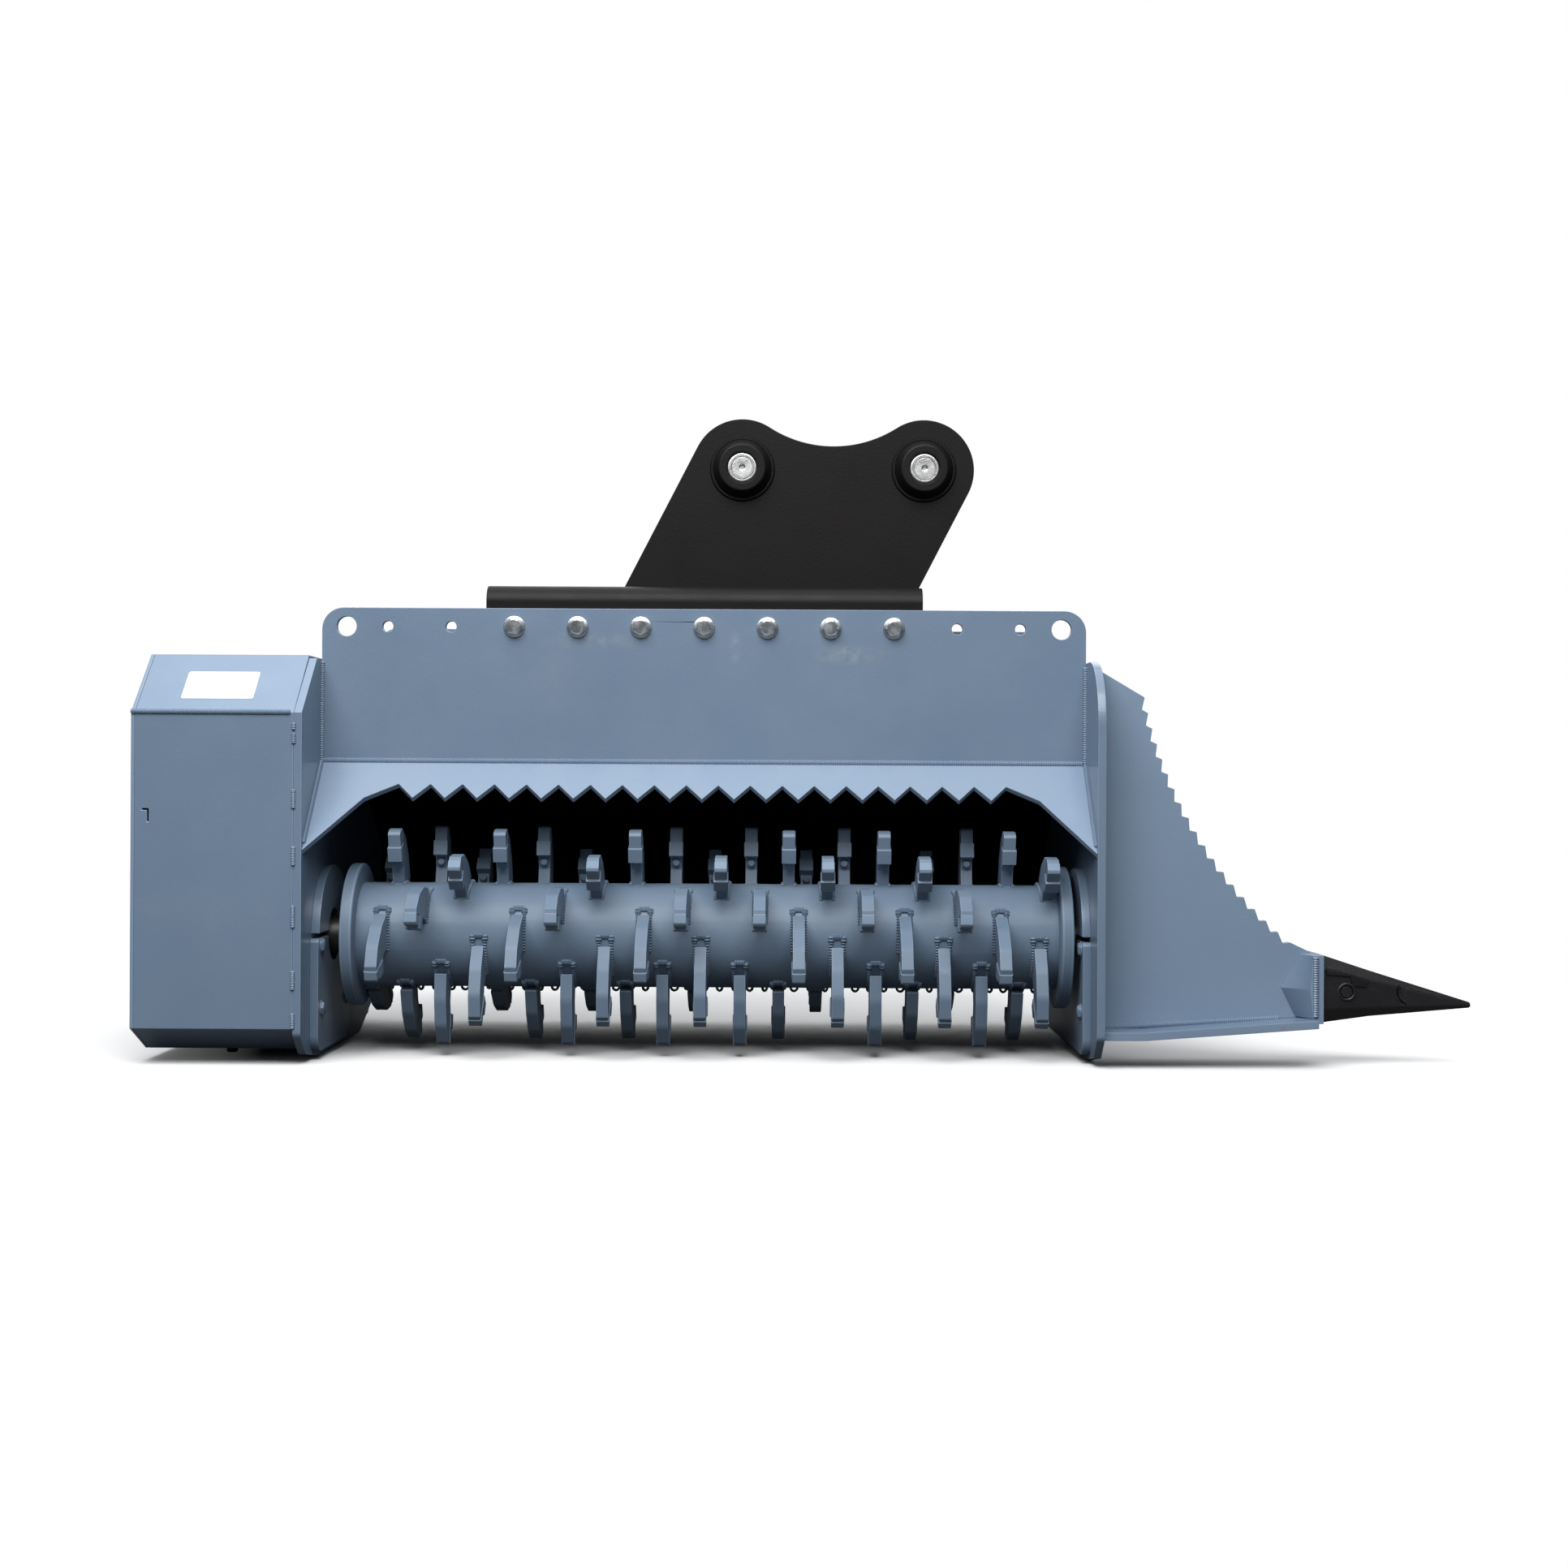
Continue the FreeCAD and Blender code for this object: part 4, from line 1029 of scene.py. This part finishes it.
class MULCHER_OT_motor(bpy.types.Operator):
    """Rounded hydraulic motor with flange bolts and port caps."""
    bl_idname = "mulcher.motor"
    bl_label = "Motor"

    def execute(self, context):
        rounded_copy("hydraulic_motor", "Bracket enamel", width=0.0025)
        rounded_copy("motor_ports", "Zinc plate", width=0.0012)
        low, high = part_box("hydraulic_motor")
        y = (low.y + high.y) / 2
        z = (low.z + high.z) / 2
        reach = (high.z - low.z) / 2 - 0.017
        flange = [facing(Vector((low.x + 0.026, y + a * reach, z + b * reach)), (1, 0, 0), a + b * 0.3)
                  for a in (-1, 1) for b in (-1, 1)]
        cap = [facing(Vector((high.x, y + a * 0.046, z + b * 0.046)), (1, 0, 0), a * 0.6 + b)
               for a in (-1, 1) for b in (-1, 1)]
        bolt = hex_head(0.019, 0.010, 0.028, 0.0025)
        finish(stamped(bolt, flange), "motor_bolts", "Zinc plate", "frame")
        screw = hex_head(0.013, 0.008, 0.018, 0.0015)
        finish(stamped(screw, cap), "motor_cap_screws", "Zinc plate", "frame")
        return {"FINISHED"}


class MULCHER_OT_bolts(bpy.types.Operator):
    """Plate bolts, cover bolts and bearing bolts."""
    bl_idname = "mulcher.bolts"
    bl_label = "Bolts"

    def execute(self, context):
        hardware = context.scene.mulcher_hardware
        self.fit_plate_bolts(hardware)
        self.fit_cover_bolts()
        self.fit_bearing_bolts()
        return {"FINISHED"}

    def fit_plate_bolts(self, hardware):
        """Bolts through the mounting plates and the saddle, with nuts inside."""
        z = PLATE_HIGH.z - hardware.bolt_drop
        saddle_low, saddle_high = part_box("bracket_saddle")
        plate = PLATE_HIGH.y - PLATE_LOW.y
        heads = []
        nuts = []
        for n in range(hardware.bolt_count):
            x = CHAMBER_X + hardware.bolt_pitch * (n - (hardware.bolt_count - 1) / 2)
            heads.append(facing(Vector((x, PLATE_LOW.y, z)), (0, -1, 0), 0.35 + 0.9 * n))
            heads.append(facing(Vector((x, REAR_HIGH.y, z)), (0, 1, 0), 0.7 + 1.1 * n))
            nuts.append(facing(Vector((x, saddle_low.y + plate, z)), (0, 1, 0), 0.2 + 0.7 * n))
            nuts.append(facing(Vector((x, saddle_high.y - plate, z)), (0, -1, 0), 0.5 + 0.8 * n))
        width = hardware.bolt_width
        head = hex_head(width, width * 0.42, width * 1.45, 0.003)
        finish(stamped(head, heads), "plate_bolts", "Zinc plate", "frame")
        nut = plain_nut(width, width * 0.55, width / 3, 0.022)
        finish(stamped(nut, nuts), "plate_bolt_nuts", "Zinc plate", "frame")

    def fit_cover_bolts(self):
        """Low heads on the bearing covers, and bolt ends outside the right side plate."""
        heads = []
        ends = []
        for y in (0.087, 2 * 0.185 - 0.087):
            for z in (0.181, 0.082):
                heads.append(facing(spot(HALF_INNER - 0.013, y, z), (-1, 0, 0), y * 40))
                heads.append(facing(spot(0.013 - HALF_INNER, y, z), (1, 0, 0), z * 50))
                ends.append(facing(spot(HALF_INNER + PLATE, y, z), (1, 0, 0), y * 30))
        head = hex_head(0.019, 0.0045, 0.026, 0.002)
        finish(stamped(head, heads), "cover_bolts", "Body enamel", "frame")
        nut = plain_nut(0.019, 0.010, 0.006, 0.017)
        finish(stamped(nut, ends), "cover_bolt_nuts", "Zinc plate", "frame")

    def fit_bearing_bolts(self):
        """Four bolts in the right bearing's flange."""
        low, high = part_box("bearing_right")
        places = []
        for side_y in (-1, 1):
            for side_z in (-1, 1):
                point = Vector((low.x + 0.016, AXIS_Y + side_y * 0.058, AXIS_Z + side_z * 0.058))
                places.append(facing(point, (1, 0, 0), side_y + side_z * 0.4))
        head = hex_head(0.019, 0.010, 0.028, 0.0025)
        finish(stamped(head, places), "bearing_bolts", "Zinc plate", "frame")


class MULCHER_OT_welds(bpy.types.Operator):
    """Weld beads where the plates meet."""
    bl_idname = "mulcher.welds"
    bl_label = "Welds"

    def execute(self, context):
        leg = context.scene.mulcher_hardware.weld_leg
        half = HALF_INNER
        lip_y = PLATE_LOW.y - FRONT_Y
        foot_z = PLATE_LOW.z
        runs = [
            (spot(-half, lip_y, foot_z), spot(half, lip_y, foot_z)),
            (spot(-half, lip_y, foot_z + 0.002), spot(-half, lip_y, 0.636)),
            (spot(half, lip_y, foot_z + 0.002), spot(half, lip_y, 0.632)),
            (spot(-half, 0.012, 0.346), spot(-half, lip_y, foot_z)),
            (spot(half, 0.012, 0.346), spot(half, lip_y, foot_z)),
        ]
        wing_low, wing_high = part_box("wing")
        foot_low, foot_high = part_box("wing_foot")
        adapter_low, adapter_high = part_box("tooth_adapter")
        front = wing_low.y
        floor = foot_low.z + PLATE
        lift = (foot_high.z - foot_low.z - PLATE)
        runs += [
            (Vector((wing_low.x, front, floor)), Vector((wing_low.x, front, wing_high.z - 0.02))),
            (Vector((wing_low.x, front, floor)), Vector((adapter_low.x, front, floor + lift * 0.85))),
            (Vector((adapter_low.x + 0.046, adapter_low.y + 0.001, adapter_low.z + 0.012)),
             Vector((adapter_low.x + 0.046, adapter_low.y + 0.001, adapter_high.z))),
        ]
        beads = [weld_run(start, end, leg) for start, end in runs]
        finish(joined(beads), "hood_welds", "Weld enamel with painted highlight", "frame")
        return {"FINISHED"}


class MULCHER_OT_chain(bpy.types.Operator):
    """Round links on a rounded bar in place of the curtain's plain ones."""
    bl_idname = "mulcher.chain"
    bl_label = "Chain"

    link_length: FloatProperty(name="Link length", default=0.045, unit="LENGTH")
    link_width: FloatProperty(name="Link width", default=0.020, unit="LENGTH")
    strand_pitch: FloatProperty(name="Strand pitch", default=0.0275, unit="LENGTH")
    bar: FloatProperty(name="Bar", default=0.009, unit="LENGTH")
    links: IntProperty(name="Links in a strand", default=3)

    def execute(self, context):
        wire = context.scene.mulcher_hardware.link_wire
        low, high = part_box("chain_curtain")
        bar_y = (low.y + high.y) / 2
        bar_z = high.z - wire - self.bar / 2
        template = self.bend_link(wire)
        places = []
        count = int((2 * HALF_INNER - self.link_width / 2) / self.strand_pitch)
        drop = self.link_length - 2 * wire
        top = high.z - self.link_length / 2
        for strand in range(count):
            x = CHAMBER_X + self.strand_pitch * (strand - (count - 1) / 2)
            last_twist = (48 + 14 * math.sin(strand * 1.7)) * (-1) ** strand
            for n in range(self.links):
                twist = last_twist if n == self.links - 1 else 0
                turn = Matrix.Rotation(math.radians((0 if n % 2 else 90) + twist), 4, "Z")
                lean = Matrix.Rotation(0.10 * math.sin(strand * 2.3 + n), 4, "Y")
                places.append(Matrix.Translation((x, bar_y, top - n * drop)) @ lean @ turn)
        links = stamped(template, places)
        bpy.ops.mesh.primitive_cube_add(size=1, location=((low.x + high.x) / 2, bar_y, bar_z))
        bar = bpy.context.object
        bar.scale = (high.x - low.x, self.bar, self.bar)
        settle(bar)
        add_modifier(bar, "BEVEL", width=0.0012, segments=2, limit_method="ANGLE")
        apply_all(bar)
        curtain = finish(joined([links, bar]), "curtain_links", "Chain steel", "frame")
        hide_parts("chain_curtain")
        return {"FINISHED"}

    def bend_link(self, wire):
        """One oval link in the X-Z plane, from a ring pulled out along Z."""
        round_radius = (self.link_width - wire) / 2
        bpy.ops.mesh.primitive_torus_add(major_segments=16, minor_segments=8, major_radius=round_radius,
                                         minor_radius=wire / 2, rotation=(math.radians(90), 0, 0))
        link = bpy.context.object
        settle(link)
        pull = (self.link_length - self.link_width) / 2
        for vertex in link.data.vertices:
            vertex.co.z += math.copysign(pull, vertex.co.z) if abs(vertex.co.z) > 1e-5 else 0.0
        return link


PIECE_OPERATORS = (
    MULCHER_OT_stage, MULCHER_OT_paint, MULCHER_OT_plates, MULCHER_OT_rotor, MULCHER_OT_bracket,
    MULCHER_OT_housing, MULCHER_OT_ripper, MULCHER_OT_motor, MULCHER_OT_bolts, MULCHER_OT_welds,
    MULCHER_OT_chain,
)


class MULCHER_PT_sidebar(bpy.types.Panel):
    """Lists the dressing steps."""
    bl_label = "Mulcher"
    bl_idname = "MULCHER_PT_sidebar"
    bl_space_type = "VIEW_3D"
    bl_region_type = "UI"
    bl_category = "Mulcher"

    def draw(self, context):
        for operator in PIECE_OPERATORS:
            self.layout.operator(operator.bl_idname)
        for settings in (context.scene.mulcher_paint, context.scene.mulcher_hardware,
                         context.scene.mulcher_studio):
            for name in settings.bl_rna.properties.keys():
                if name not in ("rna_type", "name"):
                    self.layout.prop(settings, name)


CLASSES = (PaintSettings, HardwareSettings, StudioSettings, *PIECE_OPERATORS, MULCHER_PT_sidebar)


def register():
    for cls in CLASSES:
        bpy.utils.register_class(cls)
    bpy.types.Scene.mulcher_paint = PointerProperty(type=PaintSettings)
    bpy.types.Scene.mulcher_hardware = PointerProperty(type=HardwareSettings)
    bpy.types.Scene.mulcher_studio = PointerProperty(type=StudioSettings)


def unregister():
    del bpy.types.Scene.mulcher_paint
    del bpy.types.Scene.mulcher_hardware
    del bpy.types.Scene.mulcher_studio
    for cls in reversed(CLASSES):
        bpy.utils.unregister_class(cls)


def main():
    register()
    bpy.ops.mulcher.stage()
    bpy.ops.mulcher.paint()
    bpy.ops.mulcher.plates()
    bpy.ops.mulcher.rotor()
    bpy.ops.mulcher.bracket()
    bpy.ops.mulcher.housing()
    bpy.ops.mulcher.ripper()
    bpy.ops.mulcher.motor()
    bpy.ops.mulcher.bolts()
    bpy.ops.mulcher.welds()
    bpy.ops.mulcher.chain()


if __name__ == "__main__":
    main()
